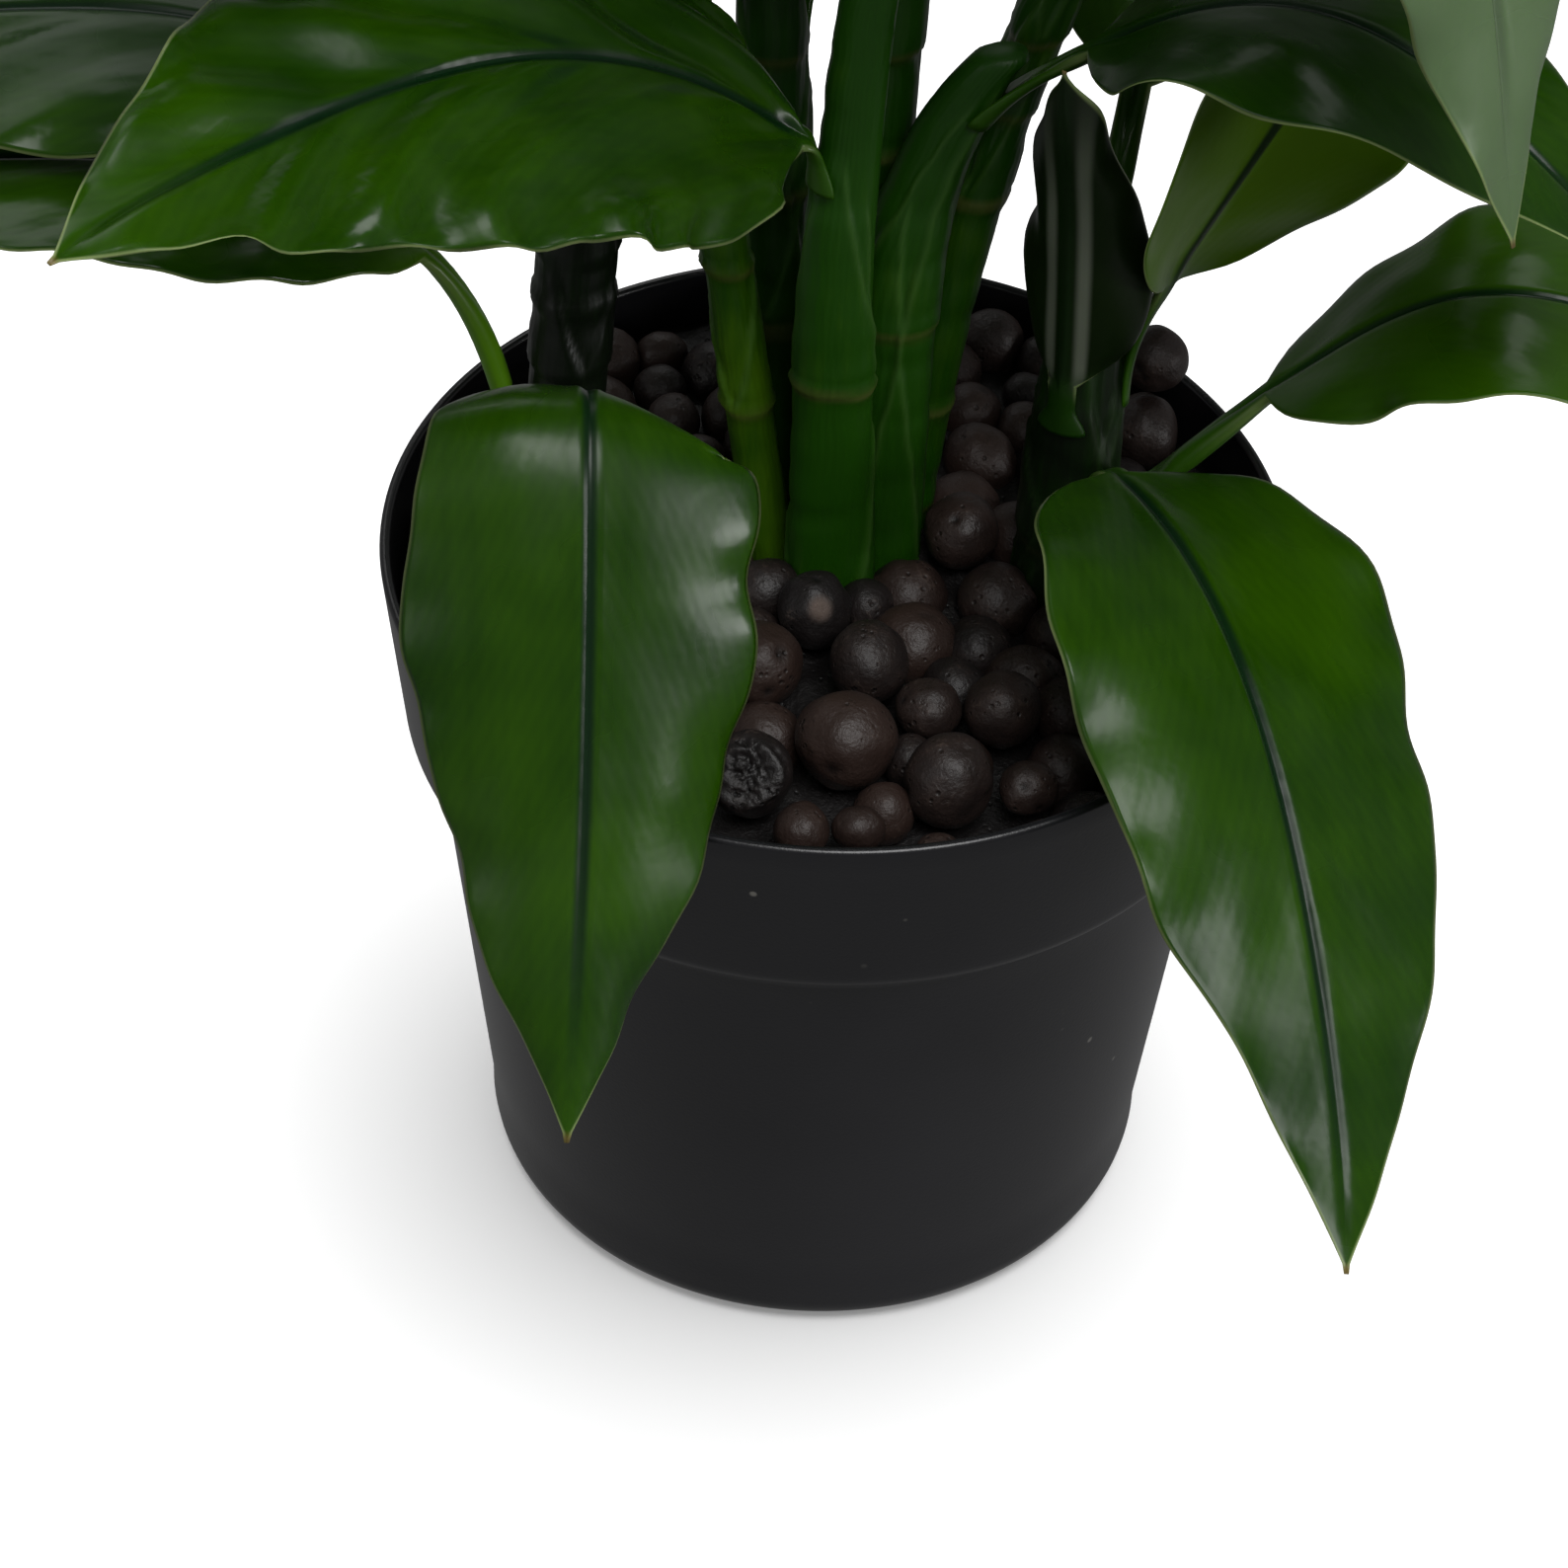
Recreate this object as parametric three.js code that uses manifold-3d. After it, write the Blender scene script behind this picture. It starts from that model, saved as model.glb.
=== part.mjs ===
// Potted dracaena: a black plastic pot, its growing medium, a bed of expanded clay pebbles,
// eight stems and the broad leaves that clasp them. Millimetres, +Z up, origin at the middle
// of the pot's flat underside.
import * as THREE from 'three';
import { mergeVertices } from 'three/addons/utils/BufferGeometryUtils.js';
import Module from 'manifold-3d';

const wasm = await Module();
wasm.setup();

// ---------- driving dimensions ----------
const potHeight = 155;
const rimRadius = 90;
const bandHeight = 40;          // upper band, measured down from the rim
const bandFootRadius = rimRadius - 4.5;
const shoulderStep = 5.5;       // how far the wall steps in under the band
const shoulderDrop = 4;
const baseRadius = rimRadius - 23;
const baseFillet = 6;
const wall = 2.2;
const floorThickness = 3;
const clearance = 0.3;          // gap kept between touching pieces

const mediumDepth = 33;         // top of the growing medium below the rim
const stemDepth = 30;           // how far the stems go down into the medium
const bedDepth = 11;            // pebble surface below the rim, at the sides
const bedMound = 5;             // how much higher it is in the middle
const bedTilt = 6;              // and how much it rises towards the back
const bedBump = 0.8;            // relief of the small pebbles
const bumpPitch = 11;
const pebbleProud = 0.45;       // height of a large pebble's centre above the bed, in radii

const stalkBaseHalf = 5.5;      // half width of a leaf stalk where it clasps its stem
const stalkHalf = 3;            // and further out
const claspLength = 18;         // how long the stalk follows the stem
const ribHalf = 1.2;            // half thickness of a leaf along its midrib
const tipTaper = 1.1;           // how fast a blade narrows towards its tip
const layoutRim = 90;           // rim radius that the stems, leaves and pebbles are given for

const potSides = 42;
const bedSides = 36;
const bedRings = 6;
const stemSides = 9;
const stemSteps = 12;
const leafSteps = 14;
const bendSteps = 160;          // steps of the sum that bends a leaf

const degree = Math.PI / 180;
const spread = rimRadius / layoutRim;
const bandFoot = potHeight - bandHeight;
const mediumTop = potHeight - mediumDepth;
const stemFoot = mediumTop - stemDepth;
const bedEdge = potHeight - bedDepth;

// ---------- colours ----------
const blackPlastic = { color: 0x17181a, roughness: 0.5, metalness: 0 };
const peat = { color: 0x2c2018, roughness: 0.95, metalness: 0 };
const clay = { color: 0x4a3630, roughness: 0.85, metalness: 0 };
const stemGreen = { color: 0x2c5a10, roughness: 0.5, metalness: 0 };
const leafGreen = { color: 0x1f4a0c, roughness: 0.4, metalness: 0 };

// ---------- stems ----------
// A stem's axis at height z is foot + lean t + bow t^power, where t runs from 0 at its foot to
// 1 at its top. top: height above the rim; radii: at the foot, half way up and at the top.
// The plant is as large as its pot is wide: every length below is times spread.
const stems = {
  left_stem: { foot: [-58, 6], lean: [10, 0], bow: [0, 34], power: 3, top: 130, radii: [7.5, 7.2, 5] },
  right_stem: { foot: [44, 2], lean: [3, 0], bow: [0, 3], power: 2, top: 85, radii: [7.6, 7.6, 5.5] },
  thin_stem: { foot: [-5.5, 9], lean: [-30, 2], bow: [0, 12], power: 4, top: 145, radii: [5, 4.5, 3.5] },
  back_stem: { foot: [-12, 22], lean: [-6, 4], bow: [0, 14], power: 2, top: 220, radii: [5.8, 5.6, 4] },
  front_stem: { foot: [1, -2], lean: [-9.8, 2.8], bow: [16.5, 0], power: 3, top: 175,
    radii: [6.5, 5.6, 3.6] },
  leaning_stem: { foot: [9, 7], lean: [0, 2], bow: [18, 1], power: 8, top: 111, radii: [4.5, 6.4, 4.5] },
  tall_stem: { foot: [0, 21], lean: [10, -2], bow: [0, 0], power: 2, top: 265, radii: [5.6, 5.8, 4] },
  outer_stem: { foot: [12, 17], lean: [-4, 4], bow: [45, 4], power: 2, top: 170, radii: [4.6, 4.5, 3.6] },
};

// ---------- leaves ----------
// at: height above the rim where the stalk leaves its stem; az: compass direction, from +X towards +Y;
// rise, fall: slope at the stem and at the tip; bend, soft: where along the leaf it turns over
// and how gradually; turn: change of direction along the leaf; stalk, blade, width: lengths;
// fold, curl: how far the two halves stand up at the midrib and curl down towards the margin;
// roll: twist about the midrib; wave, waves: height and number of the ripples of the margin.
// base: how slowly the blade widens from its stalk; ramp: over what part of the blade the curl
// sets in.
const plainLeaf = {
  bend: 0.35,
  soft: 0.18,
  turn: 0,
  fold: 8,
  curl: 20,
  roll: 0,
  wave: 0.05,
  waves: 2,
  base: 0.6,
  ramp: 0.01,
};
const leaves = {
  front_left_leaf: { stem: 'left_stem', at: 1, az: 278.5, rise: 55.5, fall: -59, bend: 0.41, soft: 0.05,
    turn: -13, stalk: 56, blade: 179, width: 70, fold: -6, curl: 29, roll: 11, base: 0.82, ramp: 0.45 },
  left_leaf: { stem: 'left_stem', at: 2, az: 184, rise: 86, fall: -5, bend: 0.31, soft: 0.17,
    turn: -7, stalk: 65, blade: 172, width: 62, fold: 5, roll: -3 },
  far_left_leaf: { stem: 'left_stem', at: 59, az: 175, rise: 45, fall: -12, bend: 0.32,
    turn: -3, stalk: 30, blade: 180, width: 68, fold: 3, roll: 11 },
  left_back_leaf: { stem: 'left_stem', at: 83, az: 110, rise: 55, fall: -35, bend: 0.4,
    stalk: 40, blade: 165, width: 62 },
  left_crown_leaf: { stem: 'left_stem', at: 107, az: 170, rise: 68, fall: 0, bend: 0.5,
    stalk: 35, blade: 150, width: 54, fold: 15 },
  right_leaf: { stem: 'right_stem', at: -2, az: -3, rise: 50, fall: -20, bend: 0.46, soft: 0.11,
    turn: -13, stalk: 52, blade: 165, width: 60, curl: 22 },
  front_right_leaf: { stem: 'right_stem', at: 15, az: 301.5, rise: 45, fall: -30, bend: 0.12, soft: 0.23,
    turn: -30, stalk: 14, blade: 173, width: 75, fold: 3, curl: 17, roll: 13, base: 0.5, ramp: 0.6 },
  right_upper_leaf: { stem: 'right_stem', at: 35, az: 19, rise: 66, fall: 6, bend: 0.82, soft: 0.1,
    turn: -75, stalk: 27, blade: 100, width: 62, fold: -9, roll: 46 },
  right_upright_leaf: { stem: 'right_stem', at: 33, az: 242, rise: 88, fall: 80, bend: 0.5,
    stalk: 12, blade: 80, width: 40, fold: 0, curl: -88, base: 0.4 },
  right_back_leaf: { stem: 'right_stem', at: 51, az: 75, rise: 60, fall: -40, bend: 0.4,
    stalk: 45, blade: 165, width: 62 },
  thin_crown_leaf: { stem: 'thin_stem', at: 133, az: 235, rise: 66, fall: 0, bend: 0.45,
    stalk: 40, blade: 150, width: 54 },
  big_left_leaf: { stem: 'front_stem', at: 89, az: 204, rise: 52, fall: 5, bend: 0.3, soft: 0.25,
    turn: 35, stalk: 14, blade: 184, width: 80, fold: 10, roll: 26, base: 0.58 },
  top_right_leaf: { stem: 'leaning_stem', at: 97, az: -20, rise: 46, fall: -35, bend: 0.48, soft: 0.2,
    turn: -12, stalk: 30, blade: 130, width: 62, fold: 6, curl: 15 },
  back_leaf_1: { stem: 'back_stem', at: 85, az: 70, rise: 55, fall: -50, bend: 0.35,
    stalk: 45, blade: 170, width: 64 },
  back_leaf_2: { stem: 'back_stem', at: 115, az: 115, rise: 60, fall: -40, bend: 0.38,
    stalk: 45, blade: 170, width: 64 },
  back_leaf_3: { stem: 'back_stem', at: 145, az: 195, rise: 64, fall: -15, bend: 0.42,
    stalk: 45, blade: 165, width: 60 },
  back_leaf_4: { stem: 'back_stem', at: 175, az: 95, rise: 68, fall: -20, bend: 0.45,
    stalk: 42, blade: 165, width: 60 },
  back_leaf_5: { stem: 'back_stem', at: 200, az: 165, rise: 76, fall: 20, bend: 0.5,
    stalk: 40, blade: 155, width: 56, fold: 12 },
  hanging_leaf: { stem: 'tall_stem', at: 154, az: -38, rise: 30, fall: -76, bend: 0.6, soft: 0.07,
    turn: -10, stalk: 50, blade: 165, width: 64, roll: 4 },
  crown_leaf_1: { stem: 'tall_stem', at: 170, az: 278, rise: 66, fall: 5, bend: 0.45,
    stalk: 45, blade: 165, width: 66 },
  crown_leaf_2: { stem: 'tall_stem', at: 185, az: 44, rise: 66, fall: -15, bend: 0.42,
    stalk: 45, blade: 165, width: 62 },
  crown_leaf_3: { stem: 'tall_stem', at: 200, az: 230, rise: 66, fall: -15, bend: 0.45,
    stalk: 42, blade: 165, width: 62 },
  crown_leaf_4: { stem: 'tall_stem', at: 215, az: 330, rise: 70, fall: 0, bend: 0.45,
    stalk: 42, blade: 160, width: 60 },
  crown_leaf_5: { stem: 'tall_stem', at: 230, az: 115, rise: 76, fall: 20, bend: 0.5,
    stalk: 40, blade: 155, width: 58, fold: 12 },
  crown_leaf_6: { stem: 'tall_stem', at: 243, az: 260, rise: 80, fall: 40, bend: 0.5,
    stalk: 38, blade: 150, width: 54, fold: 16 },
  crown_leaf_7: { stem: 'tall_stem', at: 255, az: 20, rise: 85, fall: 60, bend: 0.5,
    stalk: 35, blade: 140, width: 48, fold: 24 },
  outer_leaf_1: { stem: 'outer_stem', at: 120, az: 55, rise: 50, fall: -35, bend: 0.4,
    stalk: 45, blade: 165, width: 60 },
  outer_leaf_2: { stem: 'outer_stem', at: 139, az: 5, rise: 58, fall: -20, bend: 0.4,
    stalk: 42, blade: 160, width: 58 },
  outer_leaf_3: { stem: 'outer_stem', at: 156, az: 95, rise: 64, fall: 0, bend: 0.45,
    stalk: 38, blade: 150, width: 54, fold: 12 },
};

// ---------- large pebbles ----------
// x, y and diameter; lift raises the one that lies on its neighbours.
const pebbles = [
  { x: 3, y: -52, size: 20 },
  { x: 23, y: -60, size: 18 },
  { x: -4, y: -16.5, size: 15 },
  { x: -14, y: -32, size: 17 },
  { x: -15, y: -60, size: 17 },
  { x: 7, y: -31, size: 16 },
  { x: 25, y: 7, size: 15 },
  { x: -5, y: -72, size: 11 },
  { x: 6, y: -71, size: 10 },
  { x: 38, y: -59, size: 11 },
  { x: 33, y: -41, size: 15 },
  { x: 19, y: -41, size: 12 },
  { x: 62, y: 40, size: 15 },
  { x: 63, y: 47, size: 13, lift: 14 },
];

// ---------- solids ----------
function solidOf(geometry) {
  const bare = geometry.clone();
  bare.deleteAttribute('normal');
  bare.deleteAttribute('uv');
  const merged = mergeVertices(bare, 1e-4);
  return new wasm.Manifold(new wasm.Mesh({
    numProp: 3,
    vertProperties: new Float32Array(merged.attributes.position.array),
    triVerts: new Uint32Array(merged.index.array),
  }));
}

function geometryOf(solid) {
  const mesh = solid.getMesh();
  const geometry = new THREE.BufferGeometry();
  geometry.setAttribute('position', new THREE.BufferAttribute(mesh.vertProperties, 3));
  geometry.setIndex(new THREE.BufferAttribute(mesh.triVerts, 1));
  geometry.computeVertexNormals();
  return geometry;
}

// Skins a row of rings, each a closed loop of the same number of points, and closes both ends.
function loft(rings) {
  const count = rings[0].length;
  const positions = rings.flat().flatMap((point) => [point.x, point.y, point.z]);
  const faces = [];
  for (let i = 0; i + 1 < rings.length; i++) {
    for (let j = 0; j < count; j++) {
      const a = i * count + j;
      const b = i * count + (j + 1) % count;
      faces.push(a, b, b + count, a, b + count, a + count);
    }
  }
  const last = (rings.length - 1) * count;
  for (let j = 1; j + 1 < count; j++) {
    faces.push(0, j + 1, j);
    faces.push(last, last + j, last + j + 1);
  }
  const geometry = new THREE.BufferGeometry();
  geometry.setAttribute('position', new THREE.Float32BufferAttribute(positions, 3));
  geometry.setIndex(faces);
  geometry.computeVertexNormals();
  return geometry;
}

function mix(a, b, t) {
  return a + (b - a) * t;
}

function smooth(t) {
  const x = Math.min(Math.max(t, 0), 1);
  return x * x * (3 - 2 * x);
}

// ---------- pot ----------
// Outer radius of the pot's wall at height z: tapered body, shoulder, band.
function potRadius(z) {
  const bodyTop = bandFoot - shoulderDrop;
  const bodyTopRadius = bandFootRadius - shoulderStep;
  if (z <= bodyTop) return mix(baseRadius, bodyTopRadius, z / bodyTop);
  if (z <= bandFoot) return mix(bodyTopRadius, bandFootRadius, (z - bodyTop) / shoulderDrop);
  return mix(bandFootRadius, rimRadius, (z - bandFoot) / bandHeight);
}

function pot() {
  const bodyTop = bandFoot - shoulderDrop;
  const outline = [new THREE.Vector2(0, 0)];
  const filletSteps = 4;
  for (let i = 0; i <= filletSteps; i++) {
    const angle = (i / filletSteps) * 90 * degree;
    const radius = potRadius(baseFillet) - baseFillet * (1 - Math.sin(angle));
    outline.push(new THREE.Vector2(radius, baseFillet * (1 - Math.cos(angle))));
  }
  for (const z of [bodyTop, bandFoot]) outline.push(new THREE.Vector2(potRadius(z), z));
  const lip = wall / 2;
  const lipSteps = 4;
  for (let i = 0; i <= lipSteps; i++) {
    const angle = (i / lipSteps) * 180 * degree;
    const out = rimRadius - lip + lip * Math.cos(angle);
    outline.push(new THREE.Vector2(out, potHeight - lip + lip * Math.sin(angle)));
  }
  for (const z of [bandFoot, bodyTop, floorThickness]) {
    outline.push(new THREE.Vector2(potRadius(z) - wall, z));
  }
  outline.push(new THREE.Vector2(0, floorThickness));
  return new THREE.LatheGeometry(outline, potSides).rotateX(90 * degree);
}

// ---------- stems ----------
function stemTop(stem) {
  return potHeight + stem.top * spread;
}

function stemCentre(stem, z) {
  const t = (z - stemFoot) / (stemTop(stem) - stemFoot);
  const bend = t ** stem.power;
  return new THREE.Vector3(
    spread * (stem.foot[0] + stem.lean[0] * t + stem.bow[0] * bend),
    spread * (stem.foot[1] + stem.lean[1] * t + stem.bow[1] * bend),
    z,
  );
}

// Parabola through the three radii.
function stemRadius(stem, z) {
  const t = (z - stemFoot) / (stemTop(stem) - stemFoot);
  const [foot, middle, top] = stem.radii;
  return spread * (foot * (1 - t) * (1 - 2 * t) + 4 * middle * t * (1 - t) + top * t * (2 * t - 1));
}

function stemGeometry(stem, margin) {
  const rings = [];
  const level = (z, radius) => {
    const centre = stemCentre(stem, z);
    const ring = [];
    for (let j = 0; j < stemSides; j++) {
      const angle = (j / stemSides) * 360 * degree;
      const x = centre.x + radius * Math.cos(angle);
      const y = centre.y + radius * Math.sin(angle);
      ring.push(new THREE.Vector3(x, y, z));
    }
    rings.push(ring);
  };
  level(stemFoot - margin, stemRadius(stem, stemFoot) + margin);
  for (let i = 1; i <= stemSteps; i++) {
    const z = mix(stemFoot, stemTop(stem), i / stemSteps);
    level(z, stemRadius(stem, z) + margin);
  }
  const topRadius = stemRadius(stem, stemTop(stem));
  level(stemTop(stem) + topRadius, topRadius / 2 + margin);
  return loft(rings);
}

// ---------- leaves ----------
// The midrib's slope goes from rise to fall along a soft step (tanh) at bend, while its
// direction turns steadily; the sum of the short steps gives the midrib. Near the stem the
// direction is blended with the stem's own. Each half of the section is an arc: it starts at
// the angle fold and bends by curl, or, in the stalk, round the stem.
function leafGeometry(leaf) {
  const stalk = leaf.stalk * spread;
  const blade = leaf.blade * spread;
  const length = stalk + blade;
  const stem = stems[leaf.stem];
  const start = potHeight + leaf.at * spread;
  const azimuth = leaf.az * degree;
  const outward = new THREE.Vector3(Math.cos(azimuth), Math.sin(azimuth), 0);
  const stemEnd = stemCentre(stem, start + claspLength);
  const stemWay = stemEnd.clone().sub(stemCentre(stem, start)).normalize();
  const reach = stemRadius(stem, start) + clearance + ribHalf;
  const claspBend = stalkBaseHalf / reach;

  const frameAt = (s) => {
    const along = s / length;
    const heading = azimuth + leaf.turn * degree * Math.max((s - stalk / 2) / (length - stalk / 2), 0);
    const step = (1 + Math.tanh((along - leaf.bend) / leaf.soft)) / 2;
    const slope = mix(leaf.rise, leaf.fall, step) * degree;
    const free = smooth(s / claspLength);
    const way = new THREE.Vector3(
      Math.cos(slope) * Math.cos(heading), Math.cos(slope) * Math.sin(heading), Math.sin(slope));
    const up = new THREE.Vector3(
      -Math.sin(slope) * Math.cos(heading), -Math.sin(slope) * Math.sin(heading), Math.cos(slope));
    way.lerpVectors(stemWay, way, free).normalize();
    up.lerpVectors(outward.clone().negate(), up, free);
    up.addScaledVector(way, -up.dot(way)).normalize();
    up.applyAxisAngle(way, -leaf.roll * degree * smooth((s / stalk - 0.3) / 0.9));
    const side = new THREE.Vector3().crossVectors(up, way);
    return { way, up, side };
  };

  // (1 - t)^taper t^base, divided by its own peak.
  const widest = leaf.base / (leaf.base + tipTaper);
  const peak = (1 - widest) ** tipTaper * widest ** leaf.base;
  const profile = (t) => (1 - t) ** tipTaper * t ** leaf.base / peak;
  const halfWidthAt = (s) => {
    const t = Math.min(Math.max((s - stalk) / blade, 0), 1);
    const stalkPart = mix(stalkBaseHalf, stalkHalf, smooth(2 * s / stalk)) * (1 - smooth(4 * t));
    return Math.max(leaf.width * spread / 2 * profile(t), stalkPart, ribHalf / 2);
  };

  const ringAt = (s, point) => {
    const { up, side } = frameAt(s);
    const t = Math.min(Math.max((s - stalk) / blade, 0), 1);
    const half = halfWidthAt(s);
    const open = smooth((s / stalk - 0.5) / 0.7);
    const curl = leaf.curl * degree * smooth(t / leaf.ramp);
    const bend = mix(claspBend, -curl, open) || 0.001;
    const fold = leaf.fold * degree * open;
    const thick = ribHalf * mix(1, 0.5, t);
    const spot = (u, offset) => {
      const across = Math.abs(u);
      const x = half * (Math.sin(fold + bend * across) - Math.sin(fold)) / bend;
      const ripple = leaf.wave * u * u * Math.sin(360 * degree * leaf.waves * t + leaf.az) * smooth(6 * t);
      const y = half * ((Math.cos(fold) - Math.cos(fold + bend * across)) / bend + ripple) + offset;
      return point.clone().addScaledVector(side, Math.sign(u) * x).addScaledVector(up, y);
    };
    return [
      spot(-1, 0), spot(-0.5, -thick * 0.6), spot(0, -thick), spot(0.5, -thick * 0.6),
      spot(1, 0), spot(0.5, thick * 0.6), spot(0, thick), spot(-0.5, thick * 0.6),
    ];
  };

  // Stations: closer together in the stalk and at the tip.
  const stations = [];
  const stalkSteps = 4;
  for (let i = 0; i < stalkSteps; i++) stations.push(stalk * i / stalkSteps);
  const bladeSteps = leafSteps - stalkSteps;
  for (let i = 0; i <= bladeSteps; i++) stations.push(stalk + blade * i / bladeSteps);

  const rings = [];
  const point = stemCentre(stem, start).addScaledVector(outward, reach);
  const stepLength = length / bendSteps;
  let next = 0;
  for (let i = 0; i <= bendSteps; i++) {
    const s = i * stepLength;
    while (next < stations.length && stations[next] <= s + stepLength / 2) {
      const extra = frameAt(s).way.multiplyScalar(stations[next] - s);
      rings.push(ringAt(stations[next], point.clone().add(extra)));
      next += 1;
    }
    point.addScaledVector(frameAt(s + stepLength / 2).way, stepLength);
  }
  return loft(rings);
}

// ---------- pebbles and medium ----------
function bedHeight(x, y) {
  const across = Math.hypot(x, y) / rimRadius;
  return bedEdge + bedMound * (1 - across * across) + bedTilt * y / rimRadius;
}

function pebble(place, margin) {
  const [x, y, size, lift] = [place.x, place.y, place.size, place.lift ?? 0].map((v) => v * spread);
  const z = bedHeight(x, y) + pebbleProud * size / 2 + lift;
  return new THREE.IcosahedronGeometry(size / 2 + margin, 1).translate(x, y, z);
}

function medium() {
  const bodyTop = bandFoot - shoulderDrop;
  const bottom = floorThickness + clearance;
  const outline = [new THREE.Vector2(0, bottom)];
  for (const z of [bottom, bodyTop, bandFoot, mediumTop]) {
    outline.push(new THREE.Vector2(potRadius(z) - wall - clearance, z));
  }
  outline.push(new THREE.Vector2(0, mediumTop));
  return new THREE.LatheGeometry(outline, potSides).rotateX(90 * degree);
}

// A disc of rings whose top follows bedHeight with the low bumps of the small pebbles.
function pebbleBed() {
  const bottom = mediumTop + clearance;
  const wallRadius = (z) => potRadius(z) - wall - clearance;
  const positions = [0, 0, bottom];
  const level = (radius, height) => {
    for (let j = 0; j < bedSides; j++) {
      const angle = (j / bedSides) * 360 * degree;
      const x = radius * Math.cos(angle);
      const y = radius * Math.sin(angle);
      positions.push(x, y, height(x, y));
    }
  };
  const surface = (x, y) => {
    const wave = 360 * degree / bumpPitch;
    return bedHeight(x, y) + bedBump * Math.sin(wave * x) * Math.sin(wave * y);
  };
  const edge = wallRadius(bedEdge - bedTilt - bedBump);
  level(wallRadius(bottom), () => bottom);
  for (let i = bedRings; i > 0; i--) level(edge * i / bedRings, surface);
  positions.push(0, 0, surface(0, 0));
  const faces = [];
  const last = positions.length / 3 - 1;
  for (let j = 0; j < bedSides; j++) {
    const k = (j + 1) % bedSides;
    faces.push(0, 1 + k, 1 + j);
    for (let i = 0; i < bedRings; i++) {
      const a = 1 + i * bedSides;
      faces.push(a + j, a + k, a + k + bedSides, a + j, a + k + bedSides, a + j + bedSides);
    }
    faces.push(last - bedSides + j, last - bedSides + k, last);
  }
  const geometry = new THREE.BufferGeometry();
  geometry.setAttribute('position', new THREE.Float32BufferAttribute(positions, 3));
  geometry.setIndex(faces);
  return geometry;
}

// ---------- the object ----------
const plant = new THREE.Group();

function addPiece(name, geometry, finish) {
  const mesh = new THREE.Mesh(geometry, new THREE.MeshStandardMaterial(finish));
  mesh.name = name;
  plant.add(mesh);
}

const sockets = Object.values(stems).map((stem) => solidOf(stemGeometry(stem, clearance)));
const dimples = pebbles.map((place) => solidOf(pebble(place, clearance)));
const without = (solid, cutters) => cutters.reduce((rest, cutter) => rest.subtract(cutter), solid);

addPiece('pot', pot(), blackPlastic);
addPiece('growing_medium', geometryOf(without(solidOf(medium()), sockets)), peat);
addPiece('pebble_bed', geometryOf(without(solidOf(pebbleBed()), [...sockets, ...dimples])), clay);
pebbles.forEach((place, index) => {
  addPiece(`pebble_${index + 1}`, pebble(place, 0), clay);
});
for (const [name, stem] of Object.entries(stems)) addPiece(name, stemGeometry(stem, 0), stemGreen);
for (const [name, leaf] of Object.entries(leaves)) {
  addPiece(name, leafGeometry({ ...plainLeaf, ...leaf }), leafGreen);
}

export default plant;
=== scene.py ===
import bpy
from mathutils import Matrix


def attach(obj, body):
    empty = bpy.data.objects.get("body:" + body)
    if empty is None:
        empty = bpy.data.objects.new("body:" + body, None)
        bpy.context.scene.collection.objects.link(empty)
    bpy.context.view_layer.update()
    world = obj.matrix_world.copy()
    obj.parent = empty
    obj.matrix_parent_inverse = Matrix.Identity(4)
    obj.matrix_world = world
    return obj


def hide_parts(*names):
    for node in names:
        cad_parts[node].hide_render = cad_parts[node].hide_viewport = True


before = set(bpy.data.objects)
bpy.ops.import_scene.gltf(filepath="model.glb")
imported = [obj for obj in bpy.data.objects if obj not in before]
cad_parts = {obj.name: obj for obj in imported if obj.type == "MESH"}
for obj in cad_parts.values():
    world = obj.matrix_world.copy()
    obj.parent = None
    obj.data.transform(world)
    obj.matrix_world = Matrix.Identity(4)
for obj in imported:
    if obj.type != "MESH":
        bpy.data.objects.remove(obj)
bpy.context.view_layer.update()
import math

import bpy
import numpy as np
from mathutils import Matrix, Vector

# A potted dracaena: black plastic pot, clay pebbles, eight sheathed stems and their leaves.
# Lengths are in millimetres up to the moment a mesh is made, angles in degrees.
mm = 0.001
degree = math.pi / 180


# straight line from a to b as t goes from 0 to 1
def mix(a, b, t):
    return a + (b - a) * t


# 0 below 0, 1 above 1, and t squared times (3 - 2t) in between
def smooth(t):
    t = np.clip(t, 0, 1)
    return t * t * (3 - 2 * t)


# bell curve: 1 at distance 0, e^-1 at distance width
def bell(distance, width):
    return np.exp(-(distance / width) ** 2)


# each vector divided by its own length
def unit(vectors):
    return vectors / np.linalg.norm(vectors, axis=-1, keepdims=True)


# sum of cosines along random directions, about -1 to 1; size is their mean wavelength
def ripples(points, size, seed, count=14):
    draw = np.random.default_rng(seed)
    ways = unit(draw.normal(size=(count, 3))) * draw.uniform(0.6, 1.5, (count, 1))
    phases = draw.uniform(0, 2 * math.pi, count)
    turns = points @ (ways.T * 2 * math.pi / size) + phases
    return np.cos(turns).sum(-1) / math.sqrt(count)


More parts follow.
